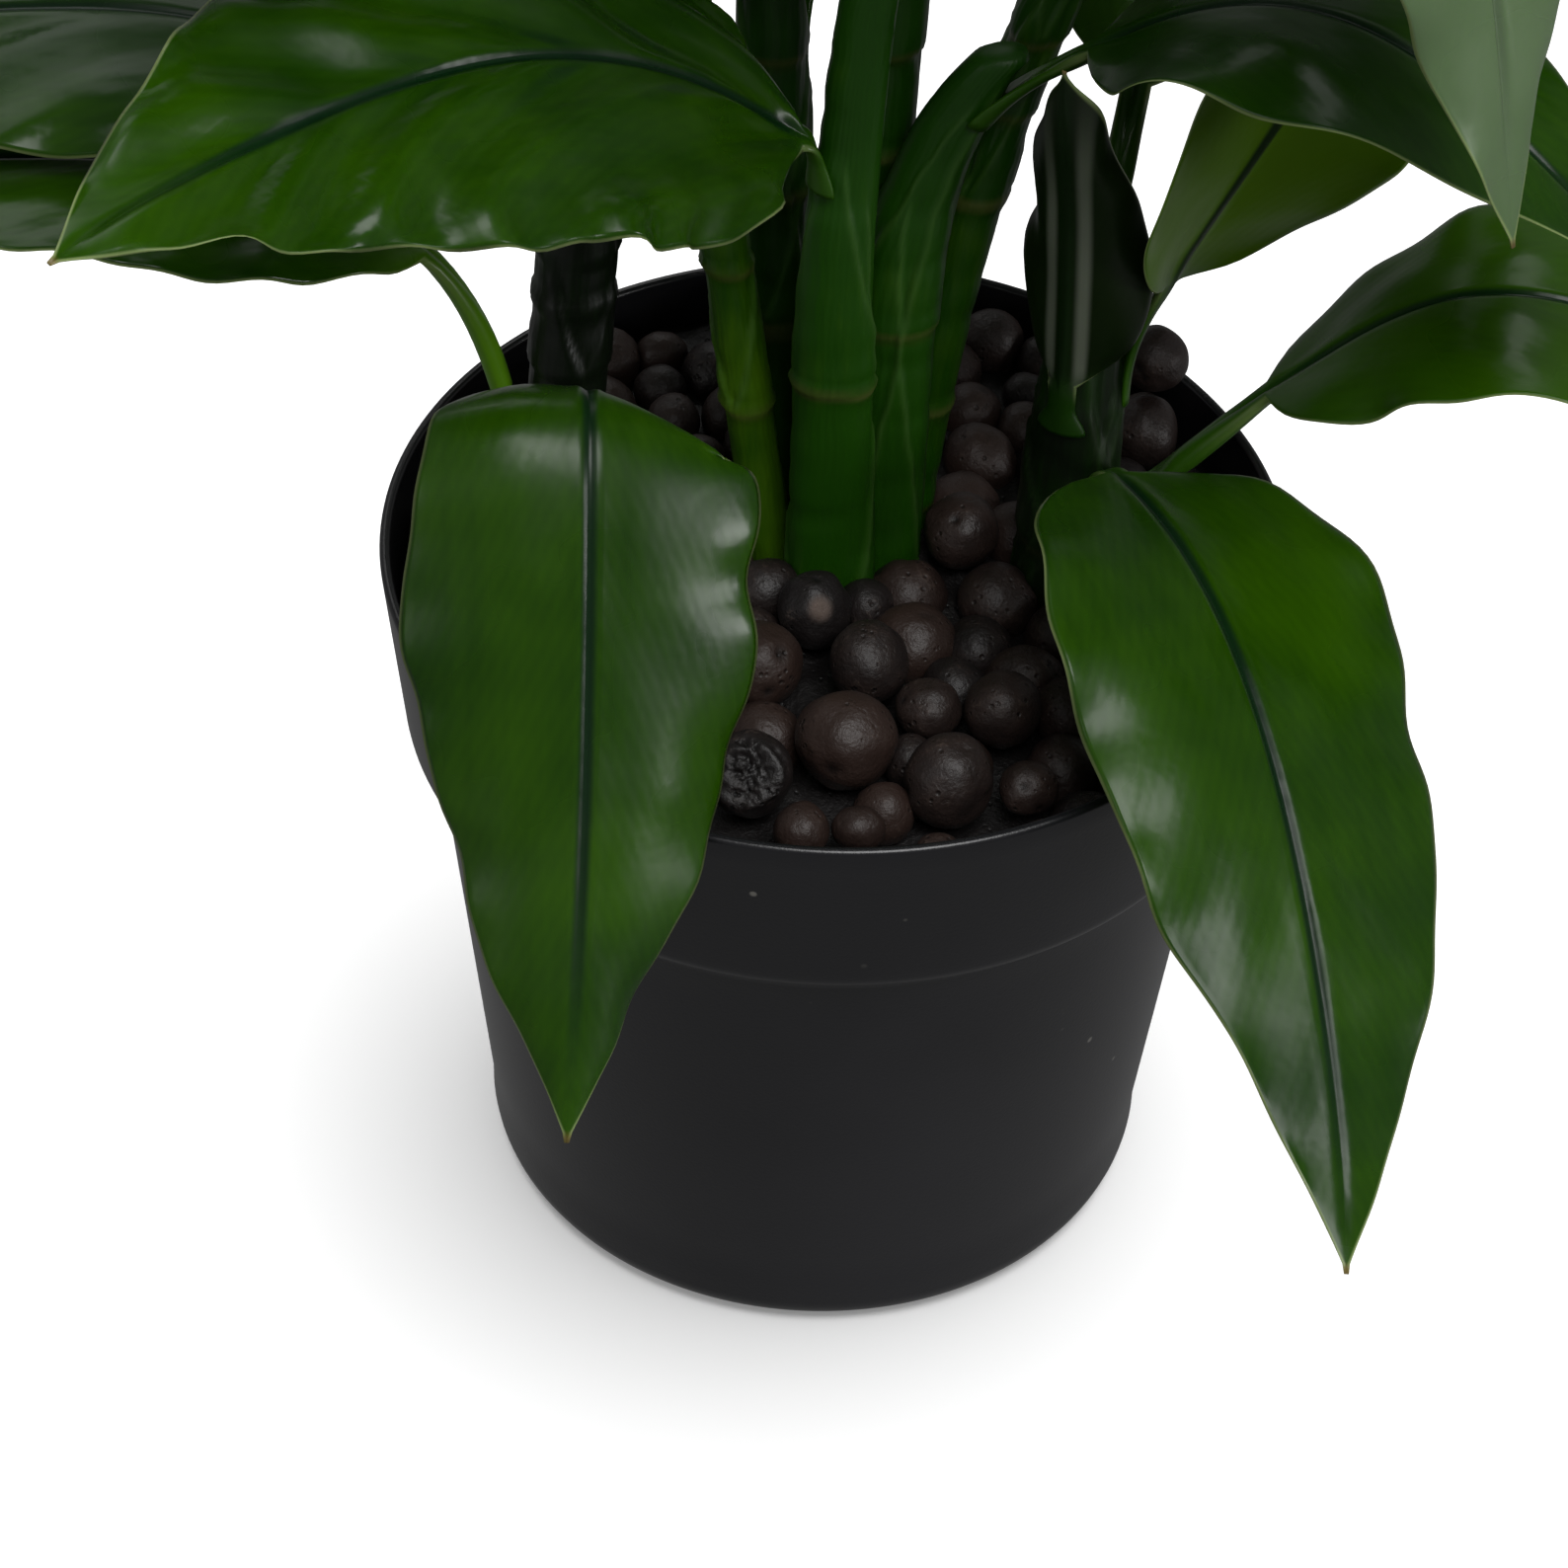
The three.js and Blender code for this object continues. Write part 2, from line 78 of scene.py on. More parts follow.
# closed skin over a stack of rings (rows, ring points, xyz), with a fan over each end;
# returns points and faces that point outwards
def skinOf(rings):
    rows, count = rings.shape[:2]
    points = np.concatenate([rings.reshape(-1, 3), rings[[0, -1]].mean(1)])
    start = (np.arange(rows - 1) * count)[:, None]
    here = np.arange(count)[None]
    there = (here + 1) % count
    quads = np.stack([start + here, start + there, start + there + count,
                      start + here + count], -1).reshape(-1, 4)
    here, there = here[0], there[0]
    first = np.stack([np.full(count, rows * count), there, here], -1)
    last = np.stack([np.full(count, rows * count + 1), here + (rows - 1) * count,
                     there + (rows - 1) * count], -1)
    a, b, c = points[first[:, 0]], points[first[:, 1]], points[first[:, 2]]
    volume = np.einsum("ij,ij->", a, np.cross(b, c))
    for part in (quads[:, [0, 1, 2]], quads[:, [0, 2, 3]], last):
        a, b, c = points[part[:, 0]], points[part[:, 1]], points[part[:, 2]]
        volume += np.einsum("ij,ij->", a, np.cross(b, c))
    if volume < 0:
        quads, first, last = quads[:, ::-1], first[:, ::-1], last[:, ::-1]
    return points, quads, np.concatenate([first, last])


# values given per ring point, with the mean of each end ring added for its fan's centre
def skinField(values):
    return np.concatenate([values.ravel(), values[[0, -1]].mean(1)])


# a mesh object from skins: each is (points, quads, triangles, {field: value per point})
def makePiece(name, skins, material, node):
    points, faces, fields, offset = [], [], {}, 0
    for skinPoints, quads, triangles, skinFields in skins:
        points.append(skinPoints)
        faces += (quads + offset).tolist() + (triangles + offset).tolist()
        for key, values in skinFields.items():
            fields.setdefault(key, []).append(np.broadcast_to(values, len(skinPoints)))
        offset += len(skinPoints)
    mesh = bpy.data.meshes.new(name)
    mesh.from_pydata((np.concatenate(points) * mm).tolist(), [], faces)
    for key, values in fields.items():
        layer = mesh.attributes.new(key, "FLOAT", "POINT")
        layer.data.foreach_set("value", np.concatenate(values).astype(np.float32))
    mesh.polygons.foreach_set("use_smooth", np.ones(len(mesh.polygons), bool))
    mesh.materials.append(material)
    mesh.update()
    piece = bpy.data.objects.new(name, mesh)
    bpy.context.scene.collection.objects.link(piece)
    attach(piece, "root")
    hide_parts(node)


# a colour as seen on a screen, 0 to 255, turned into the shader's own linear numbers
def shade(red, green, blue):
    levels = np.array([red, green, blue]) / 255
    linear = np.where(levels > 0.04045, ((levels + 0.055) / 1.055) ** 2.4, levels / 12.92)
    return (*linear.tolist(), 1.0)


class Wire:
    # one output in a node tree; sums and products of wires and numbers add Math nodes

    def __init__(self, tree, socket=None):
        self.tree, self.socket = tree, socket

    def node(self, kind, settings, inputs, output=0):
        made = self.tree.nodes.new("ShaderNode" + kind)
        for key, value in settings.items():
            setattr(made, key, value)
        for key, value in inputs.items():
            if isinstance(value, Wire):
                self.tree.links.new(value.socket, made.inputs[key])
            else:
                made.inputs[key].default_value = value
        return Wire(self.tree, made.outputs[output])

    def math(self, operation, *values):
        return self.node("Math", {"operation": operation}, dict(enumerate(values)))

    def __add__(self, other):
        return self.math("ADD", self, other)

    def __sub__(self, other):
        return self.math("SUBTRACT", self, other)

    def __rsub__(self, other):
        return self.math("SUBTRACT", other, self)

    def __mul__(self, other):
        return self.math("MULTIPLY", self, other)

    __radd__ = __add__
    __rmul__ = __mul__

    # 0 where this is at low, 1 where it is at high, eased in between
    def step(self, low, high):
        settings = {"interpolation_type": "SMOOTHSTEP"}
        return self.node("MapRange", settings, {"Value": self, "From Min": low, "From Max": high})

    # colour a where this is 0, colour b where it is 1
    def pick(self, a, b):
        settings = {"data_type": "RGBA", "clamp_factor": True}
        return self.node("Mix", settings, {0: self, 6: a, 7: b}, 2)

    def field(self, name):
        return self.node("Attribute", {"attribute_name": name}, {}, "Fac")

    def noise(self, place, scale, detail=2.0, roughness=0.5):
        inputs = {"Vector": place, "Scale": scale, "Detail": detail, "Roughness": roughness}
        return self.node("TexNoise", {}, inputs, "Fac")


# a new material with its shader and the wire that its nodes are made from
def newFinish(name, **sockets):
    material = bpy.data.materials.new(name)
    material.use_nodes = True
    shader = material.node_tree.nodes["Principled BSDF"]
    for key, value in sockets.items():
        shader.inputs[key.replace("_", " ")].default_value = value
    return material, shader, Wire(material.node_tree)


# links what varies over the surface: colour, roughness and a height for the bump
def plugFinish(shader, wire, colour, roughness, height, depth, strength):
    links = wire.tree.links
    links.new(colour.socket, shader.inputs["Base Color"])
    links.new(roughness.socket, shader.inputs["Roughness"])
    inputs = {"Height": height, "Distance": depth * mm, "Strength": strength}
    links.new(wire.node("Bump", {}, inputs).socket, shader.inputs["Normal"])


potShape = {
    "height": 155, "rimRadius": 90, "bandHeight": 40, "bandFootRadius": 85.5,
    "shoulderStep": 5.5, "shoulderDrop": 4, "shoulderRound": 2.2, "baseRadius": 67,
    "baseFillet": 6, "wall": 2.2, "floorThickness": 3, "sides": 192, "plainWall": (12, 100),
    "colour": (18, 18, 21), "worn": (30, 30, 33), "speck": (120, 118, 112),
    "roughness": 0.3,
}
bandFoot = potShape["height"] - potShape["bandHeight"]
bodyTop = bandFoot - potShape["shoulderDrop"]
bodyTopRadius = potShape["bandFootRadius"] - potShape["shoulderStep"]


# outer radius at height z: straight taper, step out at the shoulder, straight flare to the rim
def potRadius(z):
    p = potShape
    heights = [0, bodyTop, bandFoot, p["height"]]
    radii = [p["baseRadius"], bodyTopRadius, p["bandFootRadius"], p["rimRadius"]]
    return np.interp(z, heights, radii)


# the corner a-b-c of a profile replaced by a curve: (1-t)^2 start + 2t(1-t) b + t^2 end
def roundCorner(a, b, c, size, steps=6):
    a, b, c = (np.array(p, float) for p in (a, b, c))
    start = b + unit(a - b) * size
    end = b + unit(c - b) * size
    t = np.linspace(0, 1, steps)[:, None]
    return (1 - t) ** 2 * start + 2 * t * (1 - t) * b + t ** 2 * end


# points along a line, ends included
def straight(a, b, steps):
    return mix(np.array(a, float), np.array(b, float), np.linspace(0, 1, steps)[:, None])


# profile (radius, height) of the whole wall, outside up and inside down, turned about Z
def potRings():
    p = potShape
    wall, lip = p["wall"], p["wall"] / 2
    plainFoot, plainTop = p["plainWall"]
    foot = [potRadius(p["baseFillet"]), 0]
    low = [bodyTopRadius, bodyTop]
    high = [p["bandFootRadius"], bandFoot]
    rim = [p["rimRadius"], p["height"] - lip]
    bandStart = bandFoot + p["shoulderDrop"]
    turn = np.linspace(0, math.pi, 13)[:, None]
    bead = np.hstack([p["rimRadius"] - lip + lip * np.cos(turn), rim[1] + lip * np.sin(turn)])
    inset = np.array([wall, 0])
    innerFoot = [potRadius(p["floorThickness"]) - wall, p["floorThickness"]]
    profile = np.concatenate([
        straight([foot[0] * 0.3, 0], [foot[0] - p["baseFillet"], 0], 4)[:-1],
        roundCorner([0, 0], foot, low, p["baseFillet"], 9),
        straight([potRadius(plainFoot), plainFoot], [potRadius(plainTop), plainTop], 12),
        roundCorner(foot, low, high, p["shoulderRound"]),
        roundCorner(low, high, rim, p["shoulderRound"]),
        straight([potRadius(bandStart), bandStart], rim, 8)[:-1],
        bead,
        straight(rim - inset, high - inset, 8)[1:],
        straight(low - inset, innerFoot, 8),
        [[innerFoot[0] * 0.5, p["floorThickness"]]],
    ])
    around = np.linspace(0, 2 * math.pi, p["sides"], endpoint=False)
    radius, height = profile[:, 0, None], profile[:, 1, None]
    return np.stack([radius * np.cos(around), radius * np.sin(around), height + 0 * around], -1)


# Black plastic: slightly paler clouds, lone specks of dust and a fine grain.
def potFinish():
    material, shader, wire = newFinish("potPlastic", IOR=1.5)
    place = wire.node("TexCoord", {}, {}, "Object")
    cloud = wire.noise(place, 9.0, 3.0)
    grain = wire.noise(place, 1400.0, 2.0)
    dots = wire.node("TexVoronoi", {}, {"Vector": place, "Scale": 75.0}, "Distance")
    lone = wire.noise(place, 30.0, 0.0).step(0.6, 0.64)
    speck = (1 - dots.step(0.03, 0.07)) * lone
    colour = cloud.step(0.35, 0.7).pick(shade(*potShape["colour"]), shade(*potShape["worn"]))
    colour = (speck * 0.8).pick(colour, shade(*potShape["speck"]))
    roughness = cloud * 0.12 + (potShape["roughness"] - 0.06)
    plugFinish(shader, wire, colour, roughness, grain + speck * 2, 0.12, 0.25)
    return material


skin = skinOf(potRings())
makePiece("pot_detail", [(*skin, {})], potFinish(), "pot")
print("pot:", len(skin[0]), "points")


stemDepth = 63          # foot of the stems below the rim
stemFoot = potShape["height"] - stemDepth
sheathThickness = 0.75  # step where a leaf sheath ends on its stem
sheathLength = 48       # how far a leaf's sheath runs down its stem
stemSides, stemStep, stemSeed = 72, 1.5, 40
plantGlow = (0.5, 1.0, 0.2)    # how far red, green and blue light spreads inside the plant
stemColours = {
    "dark": (8, 17, 5), "green": (23, 64, 0), "yellow": (84, 124, 10), "edge": (84, 118, 58),
    "scar": (110, 104, 60), "roughness": 0.42,
}
# axis at height z: foot + lean t + bow t^power, t from 0 at the foot to 1 at the top; radii at
# foot, middle and top; tone 0 dark, 0.5 green, 1 yellow; wraps: more sheaths (azimuth, foot, top);
# rings: heights of the nodes; flat: how much wider than deep
stems = {
    "left_stem": {"foot": (-58, 6), "lean": (10, 0), "bow": (0, 34), "power": 3, "top": 285,
                  "radii": (7.5, 7.2, 5), "tone": 0.02, "rings": (168, 205), "flat": 0},
    "right_stem": {"foot": (44, 2), "lean": (3, 0), "bow": (0, 3), "power": 2, "top": 240,
                   "radii": (7.6, 7.6, 5.5), "tone": 0.12, "rings": (), "flat": 0.04,
                   "wraps": ((200, 120, 236),)},
    "thin_stem": {"foot": (-5.5, 9), "lean": (-30, 2), "bow": (0, 12), "power": 4, "top": 300,
                  "radii": (5, 4.5, 3.5), "tone": 0.72, "rings": (181, 214, 252), "flat": 0,
                  "wraps": ((60, 181, 214), (250, 214, 262))},
    "back_stem": {"foot": (-12, 22), "lean": (-6, 4), "bow": (0, 14), "power": 2, "top": 375,
                  "radii": (5.8, 5.6, 4), "tone": 0.3, "rings": (190, 222), "flat": 0.08,
                  "wraps": ((240, 150, 228),)},
    "front_stem": {"foot": (1, -2), "lean": (-9.8, 2.8), "bow": (16.5, 0), "power": 3, "top": 330,
                   "radii": (6.5, 5.6, 3.6), "tone": 0.5, "rings": (196,), "flat": 0.2,
                   "wraps": ((75, 110, 196), (265, 120, 240))},
    "leaning_stem": {"foot": (9, 7), "lean": (0, 2), "bow": (18, 1), "power": 8, "top": 266,
                     "radii": (4.5, 6.4, 4.5), "tone": 0.46, "rings": (), "flat": 0.16,
                     "wraps": ((205, 112, 236), (20, 130, 262))},
    "tall_stem": {"foot": (0, 21), "lean": (10, -2), "bow": (0, 0), "power": 2, "top": 420,
                  "radii": (5.6, 5.8, 4), "tone": 0.44, "rings": (185, 238), "flat": 0.12,
                  "wraps": ((200, 140, 260), (330, 190, 300))},
    "outer_stem": {"foot": (12, 17), "lean": (-4, 4), "bow": (45, 4), "power": 2, "top": 325,
                   "radii": (4.6, 4.5, 3.6), "tone": 0.58, "rings": (176, 226), "flat": 0.05,
                   "wraps": ((300, 150, 240),)},
}


# point of the axis at height z, as given above
def stemCentre(stem, z):
    t = (np.asarray(z, float) - stemFoot) / (stem["top"] - stemFoot)
    foot, lean, bow = (np.array(stem[key], float) for key in ("foot", "lean", "bow"))
    t = t[..., None]
    flat = foot + lean * t + bow * np.sign(t) * np.abs(t) ** stem["power"]
    return np.concatenate([flat, np.asarray(z, float)[..., None]], -1)


# parabola through the three radii
def stemRadius(stem, z):
    t = (np.asarray(z, float) - stemFoot) / (stem["top"] - stemFoot)
    foot, middle, top = stem["radii"]
    return foot * (1 - t) * (1 - 2 * t) + 4 * middle * t * (1 - t) + top * t * (2 * t - 1)


# stem and at: which stem, and the height where the stalk leaves it; az: compass direction from
# +X towards +Y; rise, fall: slope at the stem and at the tip; bend, soft: where along the leaf
# it turns over and how gradually; turn: change of direction along it; stalk, blade, width:
# lengths; fold, curl: how the halves stand up at the midrib and curl down towards the margin;
# roll: twist about the midrib; wave, waves: ripples of the margin; base: how slowly the blade
# widens; ramp: over what part of the blade the curl sets in; pleat, buckle: relief of the blade;
# ragged, frill: unevenness of the outline and height of the margin's frills; creases and the
# painted sheen and gloss amounts: how much painted shade along the folds, painted pale sheen
# and painted shiny lines shows; tone: 0 dark to 1 light; stalkTone: -1 as dark as the blade,
# 0.5 green, 1 bright
plainLeaf = {
    "bend": 0.35, "soft": 0.18, "turn": 0, "fold": 8, "curl": 20, "roll": 0, "wave": 0.05,
    "waves": 2, "base": 0.6, "ramp": 0.01, "pleat": 0.25, "buckle": 1.1, "tone": 0.5,
    "stalkTone": 0.5, "ragged": 0.035, "frill": 1.2, "creases": 0,
    "bloom": 0, "streaks": 0,
}
leafBuild = {
    "stalkBaseHalf": 5.5, "stalkHalf": 3, "claspLength": 18, "ribHalf": 1.2, "gap": 0.3,
    "lamina": 0.3, "stalkRows": 16, "bladeRows": 86, "grooveDepth": 0.5, "grooveHalf": 0.75,
    "veinAngle": 24, "pleatPitch": 17, "tipTaper": 1.1, "raggedPitch": 34, "frillPitch": 22,
    "petioleHalf": 2.3, "seed": 100,
}
leaves = {
    "front_left_leaf": dict(stem="left_stem", at=156, az=278.5, rise=55.5, fall=-59, bend=0.41,
                            soft=0.05, turn=-13, stalk=56, blade=179, width=70, fold=-6, curl=29,
                            roll=11, base=0.82, ramp=0.45, pleat=0.1, buckle=0.8),
    "left_leaf": dict(stem="left_stem", at=157, az=184, rise=86, fall=-5, bend=0.31,
                      soft=0.17, turn=-7, stalk=65, blade=172, width=62, fold=5, roll=-3,
                      stalkTone=1),
    "far_left_leaf": dict(stem="left_stem", at=214, az=175, rise=45, fall=-12, bend=0.32,
                          turn=-3, stalk=30, blade=180, width=68, fold=3, roll=11, pleat=0.6,
                          tone=0.1),
    "left_back_leaf": dict(stem="left_stem", at=238, az=110, rise=55, fall=-35, bend=0.4,
                           stalk=40, blade=165, width=62),
    "left_crown_leaf": dict(stem="left_stem", at=262, az=170, rise=68, fall=0, bend=0.5,
                            stalk=35, blade=150, width=54, fold=15),
    "right_leaf": dict(stem="right_stem", at=153, az=-3, rise=50, fall=-20, bend=0.46, soft=0.11,
                       turn=-13, stalk=52, blade=165, width=60, curl=22, tone=1),
    "front_right_leaf": dict(stem="right_stem", at=170, az=301.5, rise=45, fall=-30, bend=0.12,
                             soft=0.23, turn=-30, stalk=14, blade=173, width=75, fold=3,
                             curl=17, roll=13, base=0.5, ramp=0.6, pleat=0.18,
                             buckle=1.5),
    "right_upper_leaf": dict(stem="right_stem", at=190, az=19, rise=66, fall=6, bend=0.82,
                             soft=0.1, turn=-75, stalk=27, blade=100, width=62, fold=-9, roll=46,
                             tone=0.7),
    # painted shiny lines: two pale grey lines painted along the rolled upright leaf
    "right_upright_leaf": dict(stem="right_stem", at=188, az=242, rise=88, fall=80, bend=0.5,
                               stalk=12, blade=80, width=40, fold=0, curl=-88, base=0.4,
                               tone=0.05, stalkTone=-1, streaks=1),
    "right_back_leaf": dict(stem="right_stem", at=206, az=75, rise=60, fall=-40, bend=0.4,
                            stalk=45, blade=165, width=62),
    "thin_crown_leaf": dict(stem="thin_stem", at=288, az=235, rise=66, fall=0, bend=0.45,
                            stalk=40, blade=150, width=54),
    # painted shade along the folds of the big leaf
    "big_left_leaf": dict(stem="front_stem", at=244, az=204, rise=52, fall=5, bend=0.3, soft=0.25,
                          turn=35, stalk=14, blade=184, width=80, fold=10, roll=26, base=0.58,
                          pleat=1.7, buckle=2.4, tone=0.35, stalkTone=0, ragged=0.05, frill=2.2,
                          creases=1),
    "top_right_leaf": dict(stem="leaning_stem", at=252, az=-20, rise=46, fall=-35, bend=0.48,
                           soft=0.2, turn=-12, stalk=30, blade=130, width=62, fold=6, curl=15,
                           tone=0.2),
    "back_leaf_1": dict(stem="back_stem", at=240, az=70, rise=55, fall=-50, stalk=45, blade=170,
                        width=64),
    "back_leaf_2": dict(stem="back_stem", at=270, az=115, rise=60, fall=-40, bend=0.38, stalk=45,
                        blade=170, width=64),
    "back_leaf_3": dict(stem="back_stem", at=300, az=195, rise=64, fall=-15, bend=0.42, stalk=45,
                        blade=165, width=60),
    "back_leaf_4": dict(stem="back_stem", at=330, az=95, rise=68, fall=-20, bend=0.45, stalk=42,
                        blade=165, width=60),
    "back_leaf_5": dict(stem="back_stem", at=355, az=165, rise=76, fall=20, bend=0.5, stalk=40,
                        blade=155, width=56, fold=12),
    # painted pale sheen over the hanging leaf
    "hanging_leaf": dict(stem="tall_stem", at=309, az=-38, rise=30, fall=-76, bend=0.6, soft=0.07,
                         turn=-10, stalk=50, blade=165, width=64, roll=4, tone=1, bloom=0.75),
    "crown_leaf_1": dict(stem="tall_stem", at=325, az=278, rise=66, fall=5, bend=0.45, stalk=45,
                         blade=165, width=66),
    "crown_leaf_2": dict(stem="tall_stem", at=340, az=44, rise=66, fall=-15, bend=0.42, stalk=45,
                         blade=165, width=62),
    "crown_leaf_3": dict(stem="tall_stem", at=355, az=230, rise=66, fall=-15, bend=0.45, stalk=42,
                         blade=165, width=62),
    "crown_leaf_4": dict(stem="tall_stem", at=370, az=330, rise=70, fall=0, bend=0.45, stalk=42,
                         blade=160, width=60),
    "crown_leaf_5": dict(stem="tall_stem", at=385, az=115, rise=76, fall=20, bend=0.5, stalk=40,
                         blade=155, width=58, fold=12),
    "crown_leaf_6": dict(stem="tall_stem", at=398, az=260, rise=80, fall=40, bend=0.5, stalk=38,
                         blade=150, width=54, fold=16),
    "crown_leaf_7": dict(stem="tall_stem", at=410, az=20, rise=85, fall=60, bend=0.5, stalk=35,
                         blade=140, width=48, fold=24),
    "outer_leaf_1": dict(stem="outer_stem", at=275, az=55, rise=50, fall=-35, bend=0.4, stalk=45,
                         blade=165, width=60),
    "outer_leaf_2": dict(stem="outer_stem", at=294, az=5, rise=58, fall=-20, bend=0.4, stalk=42,
                         blade=160, width=58),
    "outer_leaf_3": dict(stem="outer_stem", at=311, az=95, rise=64, fall=0, bend=0.45, stalk=38,
                         blade=150, width=54, fold=12),
}
# The underside colours are partly the leaf's own olive and partly painted light shining through the
# blade, with painted shade along the rib; the pale haze colour is painted sheen, and the streak
# colour with its distance from the rib paints shiny lines.
leafColours = {
    "deep": (17, 47, 0), "fresh": (44, 80, 0), "rib": (6, 30, 14), "margin": (128, 144, 92),
    "under": (62, 92, 0), "underDeep": (12, 24, 4), "underRibShade": (10, 28, 4),
    "stalk": (40, 78, 4), "stalkBright": (84, 132, 14), "tip": (110, 80, 44),
    "roughness": 0.31, "creasePitch": 0.5, "bloom": (98, 116, 88), "streak": (112, 118, 104),
    "paintedGlossFrom": 3.4,
}


# The midrib's slope goes from rise to fall along a soft step at bend while its direction
# turns steadily; near the stem it follows the stem. Returns way, up and side at each s.
def leafFrames(leaf, s):
    b = leafBuild
    stalk, length = leaf["stalk"], leaf["stalk"] + leaf["blade"]
    stem = stems[leaf["stem"]]
    azimuth = leaf["az"] * degree
    outward = np.array([math.cos(azimuth), math.sin(azimuth), 0])
    stemWay = unit(stemCentre(stem, leaf["at"] + b["claspLength"]) - stemCentre(stem, leaf["at"]))
    heading = azimuth + leaf["turn"] * degree * np.maximum(
        (s - stalk / 2) / (length - stalk / 2), 0)
    step = (1 + np.tanh((s / length - leaf["bend"]) / leaf["soft"])) / 2
    slope = mix(leaf["rise"], leaf["fall"], step) * degree
    free = smooth(s / b["claspLength"])[:, None]
    way = np.stack([np.cos(slope) * np.cos(heading), np.cos(slope) * np.sin(heading),
                    np.sin(slope)], -1)
    up = np.stack([-np.sin(slope) * np.cos(heading), -np.sin(slope) * np.sin(heading),
                   np.cos(slope)], -1)
    way = unit(mix(stemWay, way, free))
    up = mix(-outward, up, free)
    up = unit(up - way * (up * way).sum(-1, keepdims=True))
    roll = (-leaf["roll"] * degree * smooth((s / stalk - 0.3) / 0.9))[:, None]
    up = up * np.cos(roll) + np.cross(way, up) * np.sin(roll)
    return way, up, np.cross(up, way)


# Two columns of ripples along s, one for each side of the leaf.
def sideRipples(s, size, seed):
    left = np.stack([s, 0 * s, 0 * s], -1)
    return ripples(np.stack([left, left + (0, 3 * size, 0)], 1), size, seed)


